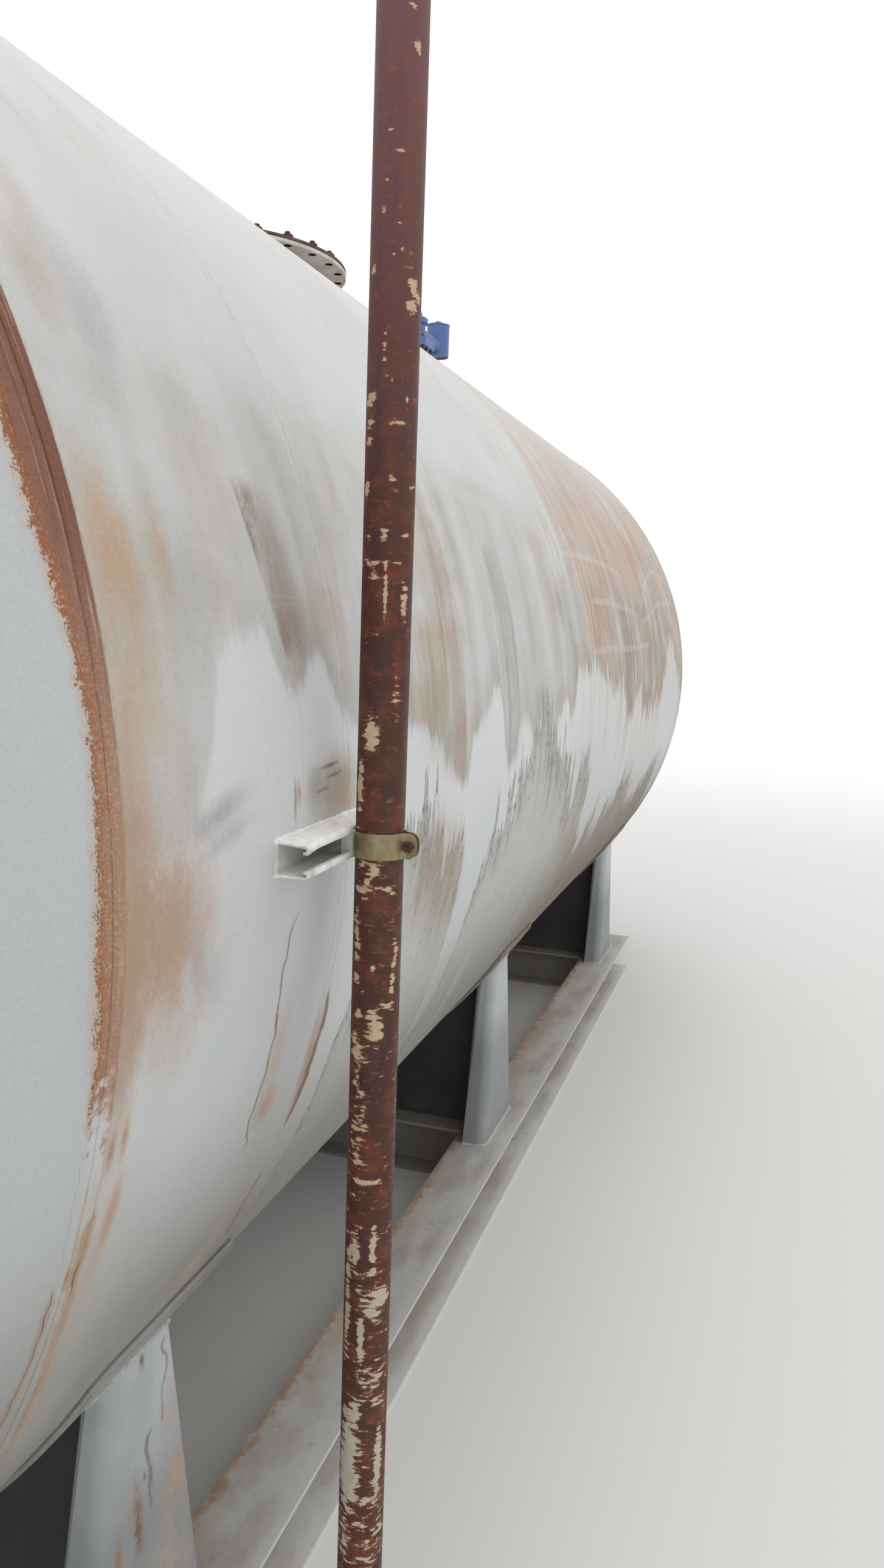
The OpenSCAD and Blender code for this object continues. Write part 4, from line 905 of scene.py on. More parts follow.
def standpipe_coat(paint):
    """Red-oxide steel pipe that has lost most of its cream paint: what is left hangs on in
    short strokes round the pipe, more of it towards the ground, with orange at the edges."""
    tree, shader, where = start_material("standpipe_rust")
    low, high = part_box("standpipe")
    centre = ((low[0] + high[0]) / 2, (low[1] + high[1]) / 2, 0.0)
    local = add(tree, "Mapping", {"Vector": where, "Location": centre,
                                  "Rotation": (0, 0, CAMERA_SIDE)}, vector_type="TEXTURE")
    at_x, at_y, at_z = add(tree, "SeparateXYZ", {0: local}, out=None).outputs
    turn = add(tree, "Math", {0: at_y, 1: at_x}, operation="ARCTAN2")
    arc = add(tree, "Math", {0: turn, 1: high[0] - centre[0]}, operation="MULTIPLY")
    flat = add(tree, "CombineXYZ", {0: arc, 1: at_z})
    tall = add(tree, "VectorMath", {0: local, 1: (1.0, 1.0, 0.08)}, operation="MULTIPLY")
    shade = clouds(tree, tall, 14, 0.3, 0.7, 6.0, 1.0)
    # Lighter and mauve up the pipe: painted reflection of the sky on the upper pipe's gloss, over the red
    # oxide.
    upper = add(tree, "MapRange", {0: at_z, 1: 1.65, 2: 2.5}, **SOFT)
    dark = coat(tree, paint.pipe, "#694146", upper)
    light = coat(tree, "#51271B", "#7B5154", upper)
    colour = coat(tree, dark, light, shade)
    bloom = clouds(tree, local, 26, 0.45, 0.72, 7.0, 7.0)
    spread = add(tree, "MapRange", {0: upper, 3: 0.6, 4: 0.35})
    colour = coat(tree, colour, "#7E3D24", bloom, spread)

    # Where cream paint is left: patches whose edges are cut into strokes round the pipe.
    squat = add(tree, "VectorMath", {0: local, 1: (0.3, 0.3, 1.0)}, operation="MULTIPLY")
    stroke = clouds(tree, squat, 4.8, 0.3, 0.7, 6.0, 3.0)
    blotch = clouds(tree, local, 13, 0.3, 0.7, 6.0, 5.0)
    held = read_off(tree, at_z, PIPE_HOLD, floor=-0.2, ceiling=0.4)
    held = add(tree, "Math", {0: stroke, 1: 0.62, 2: held}, operation="MULTIPLY_ADD")
    held = add(tree, "Math", {0: blotch, 1: 0.36, 2: held}, operation="MULTIPLY_ADD")
    for arc_mm, z_mm, half_arc, half_z, strength in PIPE_CREAM:
        reach = (1.35 * half_arc * MM, 1.35 * half_z * MM, 1.0)
        unit = add(tree, "Mapping", {"Vector": flat, "Location": (arc_mm * MM, z_mm * MM, 0),
                                     "Scale": reach}, vector_type="TEXTURE")
        near = add(tree, "TexGradient", {"Vector": unit}, out=1, gradient_type="SPHERICAL")
        held = add(tree, "Math", {0: near, 1: 0.95 * strength, 2: held}, operation="MULTIPLY_ADD")
    over = add(tree, "Math", {0: held, 1: 0.93}, operation="SUBTRACT")
    cream = add(tree, "MapRange", {0: over, 1: -0.02, 2: 0.03}, **SOFT)
    edge = add(tree, "MapRange", {0: over, 1: -0.22, 2: -0.01, 4: 0.8}, **SOFT)
    colour = coat(tree, colour, "#8E4C27", edge)
    grey = add(tree, "MapRange", {0: at_z, 1: 1.1, 2: 0.7}, **SOFT)
    film = coat(tree, paint.cream, "#B9B4A4", grey)
    worn = clouds(tree, local, 9, 0.45, 0.75, 4.0, 8.0)
    film = coat(tree, film, "#A1835F", worn, 0.5)
    colour = coat(tree, colour, film, cream)
    rough = add(tree, "MapRange", {0: shade, 3: 0.5, 4: 0.75})
    rust_grain = clouds(tree, local, 3, 0.3, 0.7, 4.0, 2.0)
    step = add(tree, "Math", {0: rust_grain, 1: 0.25, 2: cream}, operation="MULTIPLY_ADD")
    finish(tree, shader, colour, rough, step, 0.3 * MM)


def lumpy_paint(name, base, tint, lump_mm, hollow=None):
    """Enamel brushed thick over a weld or a bracket: soft lumps, dirt in the hollows. The hollow
    of a channel, given as the middle of its height, half of that height, the y of its mouth and
    the x of its open end, is darkened deep inside with painted shade."""
    tree, shader, where = start_material(name)
    lumps = clouds(tree, where, lump_mm, 0.3, 0.7, 5.0, 1.0)
    colour = coat(tree, tint, base, lumps)
    dirt = clouds(tree, where, lump_mm * 3, 0.55, 0.72, 4.0, 6.0)
    colour = coat(tree, colour, "#8E8B88", dirt, 0.45)
    if hollow:
        middle, half, mouth, end = hollow
        at_x, at_y, at_z = add(tree, "SeparateXYZ", {0: where}, out=None).outputs
        # Painted shade in the channel: dark grey, stronger away from the open end.
        off = add(tree, "Math", {0: at_z, 1: middle}, operation="SUBTRACT")
        off = add(tree, "Math", {0: off}, operation="ABSOLUTE")
        shade = add(tree, "MapRange", {0: off, 1: half + 0.5 * MM, 2: half - 1.5 * MM}, **SOFT)
        behind = add(tree, "MapRange", {0: at_y, 1: mouth, 2: mouth + 6 * MM}, **SOFT)
        deep = add(tree, "MapRange", {0: at_x, 1: end, 2: end + 90 * MM, 3: 0.3, 4: 0.75}, **SOFT)
        colour = coat(tree, colour, "#45423F", shade, behind, deep)
    finish(tree, shader, colour, 0.55, lumps, 0.8 * MM, paint_grain(tree, where, 2))


def yellow_zinc(paint):
    """Yellow-passivated zinc on the pipe clamp: an olive satin metal with a faint green film,
    brushed over with white enamel where it enters the strut."""
    tree, shader, where = start_material("clamp_yellow_zinc")
    tint = clouds(tree, where, 14, 0.35, 0.7, 3.0, 4.0)
    colour = coat(tree, paint.zinc, "#9A8E6F", tint)
    film = clouds(tree, where, 22, 0.5, 0.75, 3.0, 9.0)
    colour = coat(tree, colour, "#84895F", film, 0.3)
    at_y = add(tree, "SeparateXYZ", {0: where}, out=1)
    brush = clouds(tree, where, 4, 0.3, 0.7, 4.0, 2.0)
    root = add(tree, "Math", {0: brush, 1: 6 * MM, 2: at_y}, operation="MULTIPLY_ADD")
    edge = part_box("standpipe")[1][1]
    white = add(tree, "MapRange", {0: root, 1: edge - 1 * MM, 2: edge + 1 * MM}, **SOFT)
    colour = coat(tree, colour, "#E9E7E5", white)
    metal = add(tree, "MapRange", {0: white, 3: 0.55, 4: 0.0})
    join(tree, shader, {"Metallic": metal})
    finish(tree, shader, colour, 0.42, clouds(tree, where, 18, 0.3, 0.7, 3.0), 0.3 * MM)


# ---------------------------------------------------------------- settings

def swatch(name, description, hex_colour):
    """A colour setting whose default is an sRGB hex colour."""
    return bpy.props.FloatVectorProperty(name=name, description=description, subtype="COLOR", size=4,
                                         min=0.0, max=1.0, default=linear(hex_colour))


def length(name, description, metres):
    """A setting that is a length in metres."""
    return bpy.props.FloatProperty(name=name, description=description, unit="LENGTH", default=metres)


class TANK_PG_paint(bpy.types.PropertyGroup):
    """Main colours of the finishes."""
    enamel: swatch("Enamel", "Fresh white enamel of the tank and saddles", "#CACFD0")
    chalk: swatch("Chalk", "Chalked enamel towards the crown", "#CFCFCD")
    dirt: swatch("Dirt", "Tan dirt washed down the shell", "#B59D89")
    mildew: swatch("Mildew", "Growth on the lower flank", "#BBBBB4")
    rust: swatch("Rust", "Rust along the near girth seam", "#74493A")
    # Its dark grey holds painted shade of the webs under the tank as well as the primer's own colour.
    primer: swatch("Primer", "Primer of the saddle webs", "#3C3D3E")
    valve: swatch("Valve", "Blue enamel of the relief vent", "#4A6CA6")
    pipe: swatch("Standpipe", "Red-oxide steel of the standpipe", "#3A1C16")
    cream: swatch("Cream", "Remains of cream paint on the standpipe", "#C4AE8E")
    zinc: swatch("Zinc", "Yellow zinc of the pipe clamp", "#897D5B")


class TANK_PG_welds(bpy.types.PropertyGroup):
    """Sizes of the weld beads."""
    girth_height: length("Girth bead height", "Height of a girth bead over the shell", 3.0 * MM)
    fillet: length("Fillet", "Radius of the fillet welds", 5.0 * MM)
    caulk: length("Bracket weld", "Radius of the lumpy weld round the strut bracket", 3.0 * MM)


class TANK_PG_bolts(bpy.types.PropertyGroup):
    """Sizes of the fasteners."""
    manway_flats: length("Manway nut", "Width across flats of a manway nut", 27 * MM)
    manway_stud: length("Manway stud", "Diameter of a manway stud", 15 * MM)
    vent_flats: length("Vent bolt head", "Width across flats of a bolt head on the vent", 16 * MM)
    clamp_flats: length("Clamp bolt head", "Width across flats of the clamp bolt", 12.5 * MM)


class TANK_PG_stage(bpy.types.PropertyGroup):
    """Floor and light."""
    floor_half: length("Floor half side", "Half of the side of the square floor", 40.0)
    sky: bpy.props.FloatProperty(name="Sky strength", default=0.92, min=0.0,
                                 description="Strength of the even light from all round")
    overhead: bpy.props.FloatProperty(name="Overhead lamp", default=120.0, min=0.0,
                                      description="Power of the soft lamp over the tank, in watts")


# ---------------------------------------------------------------- pieces

class TankOperator:
    """Shared settings of the operators."""
    bl_options = {"REGISTER", "UNDO"}


class TANK_OT_finishes(TankOperator, bpy.types.Operator):
    """Make every finish and give each CAD node its own"""
    bl_idname = "tank.finishes"
    bl_label = "Finishes"

    def execute(self, context):
        paint = context.scene.tank_paint
        for build in (weathered_tank, saddle_paint, grey_web, skid_paint, manway_paint, rubber_gasket,
                      blue_valve, steel_screen, standpipe_coat, yellow_zinc):
            build(paint)
        rusted_plate("cover_rust", linear("#5C3838"), linear("#7A5552"), 60)
        rusted_plate("bolt_rust", linear("#4B2F2B"), linear("#6E463B"), 9)
        low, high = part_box("strut_bracket")
        wall = STRUT_WALL - 0.2 * MM  # the painted shade starts just inside the metal, so no pale rim shows
        hollow = ((low[2] + high[2]) / 2, (high[2] - low[2]) / 2 - wall, low[1] + wall, low[0])
        lumpy_paint("bracket_paint", linear("#F8F7F4"), linear("#E6E4E0"), 14, hollow)
        lumpy_paint("weld_paint", linear("#C6C8C8"), linear("#A9A8A4"), 9)
        # By the start of a node's name; the first that fits is taken.
        finishes = {"shell": "weathered_tank_enamel", "head_": "weathered_tank_enamel",
                    "girth_welds": "weathered_tank_enamel", "wear_pad": "weathered_tank_enamel",
                    "saddle_web": "web_primer", "saddle_posts": "saddle_enamel",
                    "skid_beam": "skid_enamel", "cross_beam": "skid_enamel",
                    "manway_cover": "cover_rust", "manway_gasket": "gasket_rubber",
                    "manway_": "manway_enamel", "vent_screen": "screen_zinc",
                    "vent_nozzle_flange": "valve_blue_enamel", "vent_nozzle": "manway_enamel",
                    "vent_": "valve_blue_enamel", "clamp_": "clamp_yellow_zinc",
                    "strut_bracket": "bracket_paint", "standpipe": "standpipe_rust"}
        for name, node in frame["nodes"].items():
            known = next(v for start, v in finishes.items() if name.startswith(start))
            for slot in node.material_slots:
                slot.material = bpy.data.materials[known]
        return {"FINISHED"}


class TANK_OT_girth_beads(TankOperator, bpy.types.Operator):
    """Add the two girth beads, each laid in three passes"""
    bl_idname = "tank.girth_beads"
    bl_label = "Girth beads"

    def execute(self, context):
        # Section: (half width * cos u, height * sin u ** 0.7), with three crowns along u, on a
        # base just under the plate; width and height vary along the seam.
        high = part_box("girth_welds")[1]
        half, tallest = high[0] - SEAM_X, high[2] - AXIS_Z - TANK_R
        rise = context.scene.tank_welds.girth_height
        t = np.linspace(0, 2 * math.pi, 1500, endpoint=False)
        u = np.linspace(0, math.pi, 13)
        dome = np.sin(u) ** 0.7 * (0.86 + 0.14 * np.cos(6 * u))
        radial = np.stack([0 * t, -np.cos(t), np.sin(t)], -1)
        across = np.broadcast_to([1.0, 0, 0], radial.shape)
        parts = []
        for k, x in enumerate((-SEAM_X, SEAM_X)):
            path = radial * TANK_R + np.array([x, 0, AXIS_Z])
            bumps = 1 + 0.10 * waves(t * TANK_R, 3 + k, 55, 90) + 0.12 * waves(t, 8 + k, 3, 11)
            edge = half * (1 + 0.06 * waves(t, 12 + k, 9, 30))
            crest = np.minimum(rise * bumps[:, None] * dome, tallest)
            outline = np.stack([edge[:, None] * np.cos(u), crest], -1)
            base = np.stack([np.stack([s * edge, np.full(len(t), -0.8 * MM)], -1) for s in (-1, 1)], 1)
            parts.append(carried(path, across, radial, np.concatenate([outline, base], 1), True))
        piece = put_piece("girth_weld_beads", parts, "weathered_tank_enamel")
        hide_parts("girth_welds")
        return {"FINISHED"}


class TANK_OT_pad_welds(TankOperator, bpy.types.Operator):
    """Add the fillet weld round each wear pad"""
    bl_idname = "tank.pad_welds"
    bl_label = "Wear pad welds"

    def execute(self, context):
        # The pad laid flat is a rectangle with its corners cut; a along X and s round the tank
        # give the point at angle s / radius from the bottom.
        radius, cut, step = context.scene.tank_welds.fillet, 20 * MM, 12 * MM
        for i, x in enumerate(SADDLE_X):
            low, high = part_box(f"wear_pad_{i + 1}")
            half_x = (high[0] - low[0]) / 2
            outer = AXIS_Z - low[2]
            half = math.asin(min(1.0, high[1] / outer)) * outer
            corner = [(half_x, half - cut), (half_x - cut, half),
                      (cut - half_x, half), (-half_x, half - cut)]
            loop = np.array(corner + [(-a, -b) for a, b in corner] + corner[:1])
            share = np.concatenate([np.linspace(k, k + 1, 120, endpoint=False)
                                    for k in range(len(loop) - 1)])
            a, s = (np.interp(share, np.arange(len(loop)), loop[:, k]) for k in range(2))
            turn = s / outer
            radial = np.stack([0 * turn, np.sin(turn), -np.cos(turn)], -1)
            points = radial * (TANK_R + 3.5 * MM) + np.stack([a + x, 0 * a, 0 * a + AXIS_Z], -1)
            path = even(points, step, True)[0]
            normal = path - np.stack([path[:, 0], 0 * path[:, 0], 0 * path[:, 0] + AXIS_Z], -1)
            normal /= np.linalg.norm(normal, axis=1, keepdims=True)
            part = fillet_bead(points, radius, 40 + i, normal, True, step)
            put_piece(f"wear_pad_weld_{i + 1}", [part], "weathered_tank_enamel")
        return {"FINISHED"}


def post_rim(low, high, z):
    """Outline of a post at height z on the -Y side: along the near leg, round the face, back
    along the far leg. low and high are half width, face and leg depth at the two heights."""
    share = (z - low["z"]) / (high["z"] - low["z"])
    half, face, leg = (low[k] + (high[k] - low[k]) * share for k in ("half", "face", "leg"))
    bend = 30 * MM
    t = np.linspace(math.pi / 2, 0, 9)
    right = np.stack([half - bend + bend * np.sin(t), -(face - bend + bend * np.cos(t))], -1)
    right = np.vstack([[half, leg - face], right])
    return np.vstack([right, right[::-1] * [-1, 1]])


class TANK_OT_post_welds(TankOperator, bpy.types.Operator):
    """Add the welds of the saddle posts to the pads and to the skid beams"""
    bl_idname = "tank.post_welds"
    bl_label = "Saddle post welds"

    def execute(self, context):
        radius = context.scene.tank_welds.fillet
        beam_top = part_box("skid_beam_right")[1][2]
        for i, x in enumerate(SADDLE_X):
            low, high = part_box(f"saddle_posts_{i + 1}")
            foot = {"z": beam_top, "half": (high[0] - low[0]) / 2, "face": high[1], "leg": 67 * MM}
            ring = AXIS_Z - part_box(f"wear_pad_{i + 1}")[0][2] + WELD_GAP
            face = high[1] - 6 * MM
            meet = {"z": AXIS_Z - math.sqrt(ring ** 2 - face ** 2), "half": 71 * MM, "face": face,
                    "leg": 42 * MM}
            parts = []
            # The rim at the pad: each point's height follows from its y, and its y from the
            # height, so a few rounds settle it.
            rim = post_rim(foot, meet, meet["z"])
            for _ in range(4):
                height = AXIS_Z - np.sqrt(np.maximum(ring ** 2 - rim[:, 1] ** 2, 0))
                rims = np.stack([post_rim(foot, meet, z) for z in height])
                rim = rims[np.arange(len(rim)), np.arange(len(rim))]
            upper = np.column_stack([rim, height])
            rim = post_rim(foot, meet, beam_top)
            lower = np.column_stack([rim, np.full(len(rim), beam_top + 1 * MM)])
            for side in (1, -1):
                for k, (line, size) in enumerate(((upper, 0.8), (lower, 1))):
                    points = line * [1, side, 1] + [x, 0, 0]
                    parts.append(fillet_bead(points, radius * size, 60 + 4 * i + k, (0.05, 0.1, 1)))
            put_piece(f"saddle_post_welds_{i + 1}", parts, "weld_paint")
        return {"FINISHED"}


class TANK_OT_web_welds(TankOperator, bpy.types.Operator):
    """Add the welds of the saddle webs to the pads, and of the manway and vent to the shell"""
    bl_idname = "tank.web_welds"
    bl_label = "Web and nozzle welds"

    def execute(self, context):
        radius = context.scene.tank_welds.fillet
        for i in range(len(SADDLE_X)):
            low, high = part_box(f"saddle_web_{i + 1}")
            ring = AXIS_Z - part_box(f"wear_pad_{i + 1}")[0][2] + WELD_GAP
            reach = math.asin(min(0.999, (high[1] - 8 * MM) / ring))
            t = np.linspace(-reach, reach, 160)
            parts = []
            for side, out in ((low[0], -0.5 * MM), (high[0], 0.5 * MM)):
                arc = np.stack([0 * t + side + out, ring * np.sin(t), AXIS_Z - ring * np.cos(t)], -1)
                foot = [(side, y, low[2] + 0.5 * MM) for y in (low[1] + 20 * MM, high[1] - 20 * MM)]
                for line, seed in ((arc, 80 + i), (foot, 90 + i)):
                    parts.append(fillet_bead(line, radius * 0.8, seed, (1, 0, 0), step=10 * MM))
            put_piece(f"saddle_web_welds_{i + 1}", parts, "web_primer")
        t = np.linspace(0, 2 * math.pi, 400, endpoint=False)
        for node, size in (("manway_neck", 1.3), ("vent_nozzle", 0.8)):
            low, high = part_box(node)
            r, cx = (high[0] - low[0]) / 2, (high[0] + low[0]) / 2
            y = r * np.sin(t)
            z = AXIS_Z + np.sqrt(TANK_R ** 2 - y ** 2) + 0.5 * MM
            loop = np.stack([cx + r * np.cos(t), y, z], -1)
            part = fillet_bead(loop, radius * size, 100, (0, 0, 1), True, 5 * MM)
            put_piece(node + "_weld", [part], "weathered_tank_enamel")
        return {"FINISHED"}


def hexagon(flats, t):
    """Radius of a hexagon of the given width across flats, at angles t."""
    return flats / 2 / np.cos((t + math.pi / 6) % (math.pi / 3) - math.pi / 6)


def nut_and_stud(flats, nut_height, stud_d, proud, below, pitch):
    """Rings of a stud with a nut on it: from the buried end of the stud up to the seat of the
    nut, out to its chamfered hexagon, and in again to the threaded tip."""
    t = np.linspace(0, 2 * math.pi, 24, endpoint=False)
    hexed, round_ = hexagon(flats, t), np.ones_like(t)
    stud = stud_d / 2
    rows = [(stud * round_, -below), (stud * round_, 0.0), (np.minimum(hexed, flats * 0.53), 0.0),
            (hexed, nut_height * 0.14), (hexed, nut_height * 0.82),
            (np.minimum(hexed, flats * 0.5), nut_height), (stud * 1.04 * round_, nut_height)]
    count = max(2, int(proud / pitch * 4))
    for k in range(count + 1):
        z = nut_height + proud * k / count
        thread = 0.055 * np.abs((z / pitch - t / (2 * math.pi)) % 1 * 2 - 1)
        rows.append((stud * (1 - thread - (0.16 if k == count else 0)), z))
    return turned(np.stack([r for r, _ in rows]), [z for _, z in rows])


class TANK_OT_manway_bolts(TankOperator, bpy.types.Operator):
    """Add the rusted studs and nuts of the manway"""
    bl_idname = "tank.manway_bolts"
    bl_label = "Manway bolts"

    def execute(self, context):
        bolts = context.scene.tank_bolts
        mount = manway_mount()
        count, circle = int(mount["dims"]["count"]), mount["dims"]["pcd_mm"] * MM / 2
        angle = np.arange(count) * 2 * math.pi / count
        places = circle * np.stack([np.cos(angle), np.sin(angle), 0 * angle], -1) + mount["pos_m"]
        spin = np.random.default_rng(5).uniform(0, math.pi / 3, count)
        unit = nut_and_stud(bolts.manway_flats, nut_height=10 * MM, stud_d=bolts.manway_stud,
                            proud=8 * MM, below=12 * MM, pitch=2 * MM)
        nuts = placed(unit, places, about_z(angle + spin))
        put_piece("manway_nuts", [nuts], "bolt_rust")
        return {"FINISHED"}


class TANK_OT_vent_bolts(TankOperator, bpy.types.Operator):
    """Add the bolts of the square flanges of the vent"""
    bl_idname = "tank.vent_bolts"
    bl_label = "Vent bolts"

    def execute(self, context):
        flats = context.scene.tank_bolts.vent_flats
        low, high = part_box("vent_nozzle_flange")
        centre = (low + high) / 2
        valve_flange, pitch = 20 * MM, 56 * MM
        spots = np.array([(a, b) for a in (-1, 0, 1) for b in (-1, 0, 1) if a or b]) * pitch
        places = np.column_stack([spots + centre[:2], np.full(8, high[2] + valve_flange)])
        turns = about_z(np.random.default_rng(9).uniform(0, math.pi / 3, 8))
        thread = {"stud_d": 9.6 * MM, "pitch": 1.5 * MM}
        unit = nut_and_stud(flats, nut_height=7 * MM, proud=5 * MM, below=18 * MM, **thread)
        flip = turns @ np.diag([1.0, -1.0, -1.0])
        under = nut_and_stud(flats, nut_height=8 * MM, proud=6 * MM, below=10 * MM, **thread)
        lows = places.copy()
        lows[:, 2] = low[2]
        parts = [placed(unit, places, turns), placed(under, lows, flip)]
        put_piece("vent_bolts", parts, "bolt_rust")
        return {"FINISHED"}


def strut_outline(side, wall, slot, lip, bend):
    """Section of the slotted strut, back at a = 0 and mouth at a = side: outer corners rounded
    by bend, lips turned in. Points (a, b) go once round the metal."""
    h = side / 2
    t = np.linspace(0, math.pi / 2, 6)

    def corner(a, b, r, start):
        return np.stack([a + r * np.cos(start + t), b + r * np.sin(start + t)], -1)

    inner = max(bend - wall, 0.4 * MM)
    s = slot / 2
    top = [corner(bend, h - bend, bend, math.pi / 2)[::-1],
           corner(side - bend, h - bend, bend, 0)[::-1],
           [[side, s + wall], [side - 0.4 * wall, s + 0.1 * wall], [side - wall, s]],
           [[side - lip, s], [side - lip, s + wall]],
           [[side - wall - inner, s + wall + inner * 0.2]],
           corner(side - wall - inner, h - wall - inner, inner, 0),
           corner(wall + inner, h - wall - inner, inner, math.pi / 2)]
    half = np.vstack([np.reshape(p, (-1, 2)) for p in top])
    return np.vstack([half, half[::-1] * [1, -1]])


class TANK_OT_strut(TankOperator, bpy.types.Operator):
    """Add the slotted strut bracket with its rolled corners, thick paint and bent lip"""
    bl_idname = "tank.strut"
    bl_label = "Strut bracket"

    def execute(self, context):
        low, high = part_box("strut_bracket")
        side, middle = high[2] - low[2], (high[2] + low[2]) / 2
        outline = strut_outline(side, STRUT_WALL, slot=22.2 * MM, lip=7.2 * MM, bend=4.5 * MM)
        a, b = outline[None, :, 0], outline[None, :, 1]
        x = np.linspace(low[0], high[0], 90)
        path = np.stack([x, 0 * x + high[1], 0 * x + middle], -1)
        across = np.broadcast_to([0.0, -1.0, 0.0], path.shape)
        up = np.broadcast_to([0.0, 0.0, 1.0], path.shape)
        shapes = np.broadcast_to(outline, (len(x),) + outline.shape).copy()
        wobble = 0.35 * MM * waves(x[:, None] + a * 3 + b * 5, 4, 20, 60)
        shapes[..., 1] -= np.sign(shapes[..., 1]) * np.abs(wobble)
        # The upper lip is bent down at its open end: the drop is exp(-(distance / 16 mm) ** 2).
        from_end = (x - low[0])[:, None]
        dent = np.exp(-(from_end / (16 * MM)) ** 2) * (a > side * 0.7) * (b > 0)
        shapes[..., 1] -= 3.2 * MM * dent
        part = carried(path, across, up, shapes)
        piece = put_piece("strut_channel", [part], "bracket_paint", 50)
        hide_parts("strut_bracket")
        radius = context.scene.tank_welds.caulk
        back = high[1] + 0.2 * MM
        loop = [(low[0], back, low[2]), (low[0], back, high[2]), (high[0], back, high[2]),
                (high[0], back, low[2])]
        caulk = fillet_bead(loop, radius, 130, (0, 1, 0), True, 4 * MM)
        put_piece("strut_weld", [caulk], "bracket_paint")
        return {"FINISHED"}


def smooth_path(points, rounds=4):
    """Corner cutting: each edge gives points at a quarter and three quarters, rounds times."""
    points = np.asarray(points, float)
    for _ in range(rounds):
        a, b = points[:-1], points[1:]
        cut = np.stack([0.75 * a + 0.25 * b, 0.25 * a + 0.75 * b], 1).reshape(-1, points.shape[1])
        points = np.vstack([points[:1], cut, points[-1:]])
    return points


class TANK_OT_clamp(TankOperator, bpy.types.Operator):
    """Add the two straps of the pipe clamp with their rounded ears, and the slotted bolt"""
    bl_idname = "tank.clamp"
    bl_label = "Pipe clamp"

    def execute(self, context):
        low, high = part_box("standpipe")
        cx, cy = (low[0] + high[0]) / 2, (low[1] + high[1]) / 2
        pipe_r = (high[0] - low[0]) / 2
        wall, gap, tip_r, soft = 2.8 * MM, 4.5 * MM, 11 * MM, 0.5 * MM
        ring = pipe_r + 0.4 * MM + wall / 2
        ear, neck = gap + wall / 2, 8 * MM + wall / 2
        for side, node in ((-1, "clamp_rear"), (1, "clamp_front")):
            # Middle line of a strap, seen from above: down its neck, round the pipe and out
            # along its ear; then a section carried along it, whose half height is width.
            low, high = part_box(node)
            middle, half = (low[2] + high[2]) / 2, (high[2] - low[2]) / 2
            t = np.linspace(math.asin(neck / ring), math.pi - math.asin(ear / ring) - 0.34, 26)
            arc = np.stack([side * ring * np.sin(t), ring * np.cos(t)], -1)
            start = np.array([[side * neck, high[1] - cy], [side * neck, arc[0, 1] + 6 * MM]])
            bend_y = -math.sqrt(ring ** 2 - ear ** 2)
            end = np.array([[side * (ear + 2.2 * MM), bend_y + 0.4 * MM], [side * ear, bend_y - 4.5 * MM],
                            [side * ear, bend_y - 9 * MM], [side * ear, low[1] - cy]])
            line = smooth_path(np.vstack([start, arc, end]), 3)
            path, along, at = even(np.column_stack([line, 0 * line[:, 0]]), 1.1 * MM)
            to_end = at[-1] - at
            tip = np.sqrt(np.maximum(tip_r ** 2 - np.maximum(tip_r - to_end, 0) ** 2, 0))
            width = np.where(to_end < tip_r, half - tip_r + tip, half)
            y, root, front = path[:, 1], arc[0, 1], high[1] - cy
            lips = np.interp(y, [root + 3.5 * MM, root + 5.0 * MM], [0, 1])
            lips = lips * np.interp(y, [front - 9.0 * MM, front - 8.0 * MM], [1, 0])
            width = np.maximum(width * (1 - lips) + 10.6 * MM * lips, 1.0 * MM)
            up = np.broadcast_to([0.0, 0.0, 1.0], path.shape)
            h = wall / 2
            section = np.stack([np.stack([np.full(len(at), a), s * (width - b)], -1) for a, s, b in
                                ((h, -1, soft), (h, 1, soft), (h - soft, 1, 0), (soft - h, 1, 0),
                                 (-h, 1, soft), (-h, -1, soft), (soft - h, -1, 0), (h - soft, -1, 0))], 1)
            part = carried(path + [cx, cy, middle], np.cross(along, up), up, section)
            piece = put_piece("clamp_strap_" + node[6:], [part], "clamp_yellow_zinc", 30)
            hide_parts(node)

        # Bolt head: a hexagon that closes to a low crown, cut 1.6 mm deep by its slot.
        low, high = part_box("clamp_rear")
        flats, slot_depth = context.scene.tank_bolts.clamp_flats, 1.6 * MM
        bolt_y, bolt_z = low[1] + 9.5 * MM, (low[2] + high[2]) / 2
        t = np.linspace(0, 2 * math.pi, 48, endpoint=False)
        cut = np.where(np.abs(np.sin(t - 0.35)) < 0.2, slot_depth, 0.0)
        face = [hexagon(flats, t) * s for s in (1.0, 1.0, 0.94, 0.72, 0.45, 0.18)]
        height = np.repeat(np.array([0, 4.4, 5.1, 5.3, 5.35, 5.35])[:, None] * MM, len(t), 1)
        height[2:] -= cut
        height[5] -= slot_depth - cut
        head = turned(np.stack(face), height)
        nut = nut_and_stud(flats, nut_height=5.5 * MM, stud_d=7.6 * MM, proud=5 * MM, below=16 * MM,
                           pitch=1.4 * MM)
        rear = np.array([[[0.0, 0, -1], [0, 1, 0], [1, 0, 0]]])
        front = np.array([[[0.0, 0, 1], [0, 1, 0], [-1, 0, 0]]])
        parts = [placed(head, [(cx - gap - wall, bolt_y, bolt_z)], rear),
                 placed(nut, [(cx + gap + wall, bolt_y, bolt_z)], front)]
        put_piece("clamp_bolt", parts, "bolt_rust", 30)
        return {"FINISHED"}


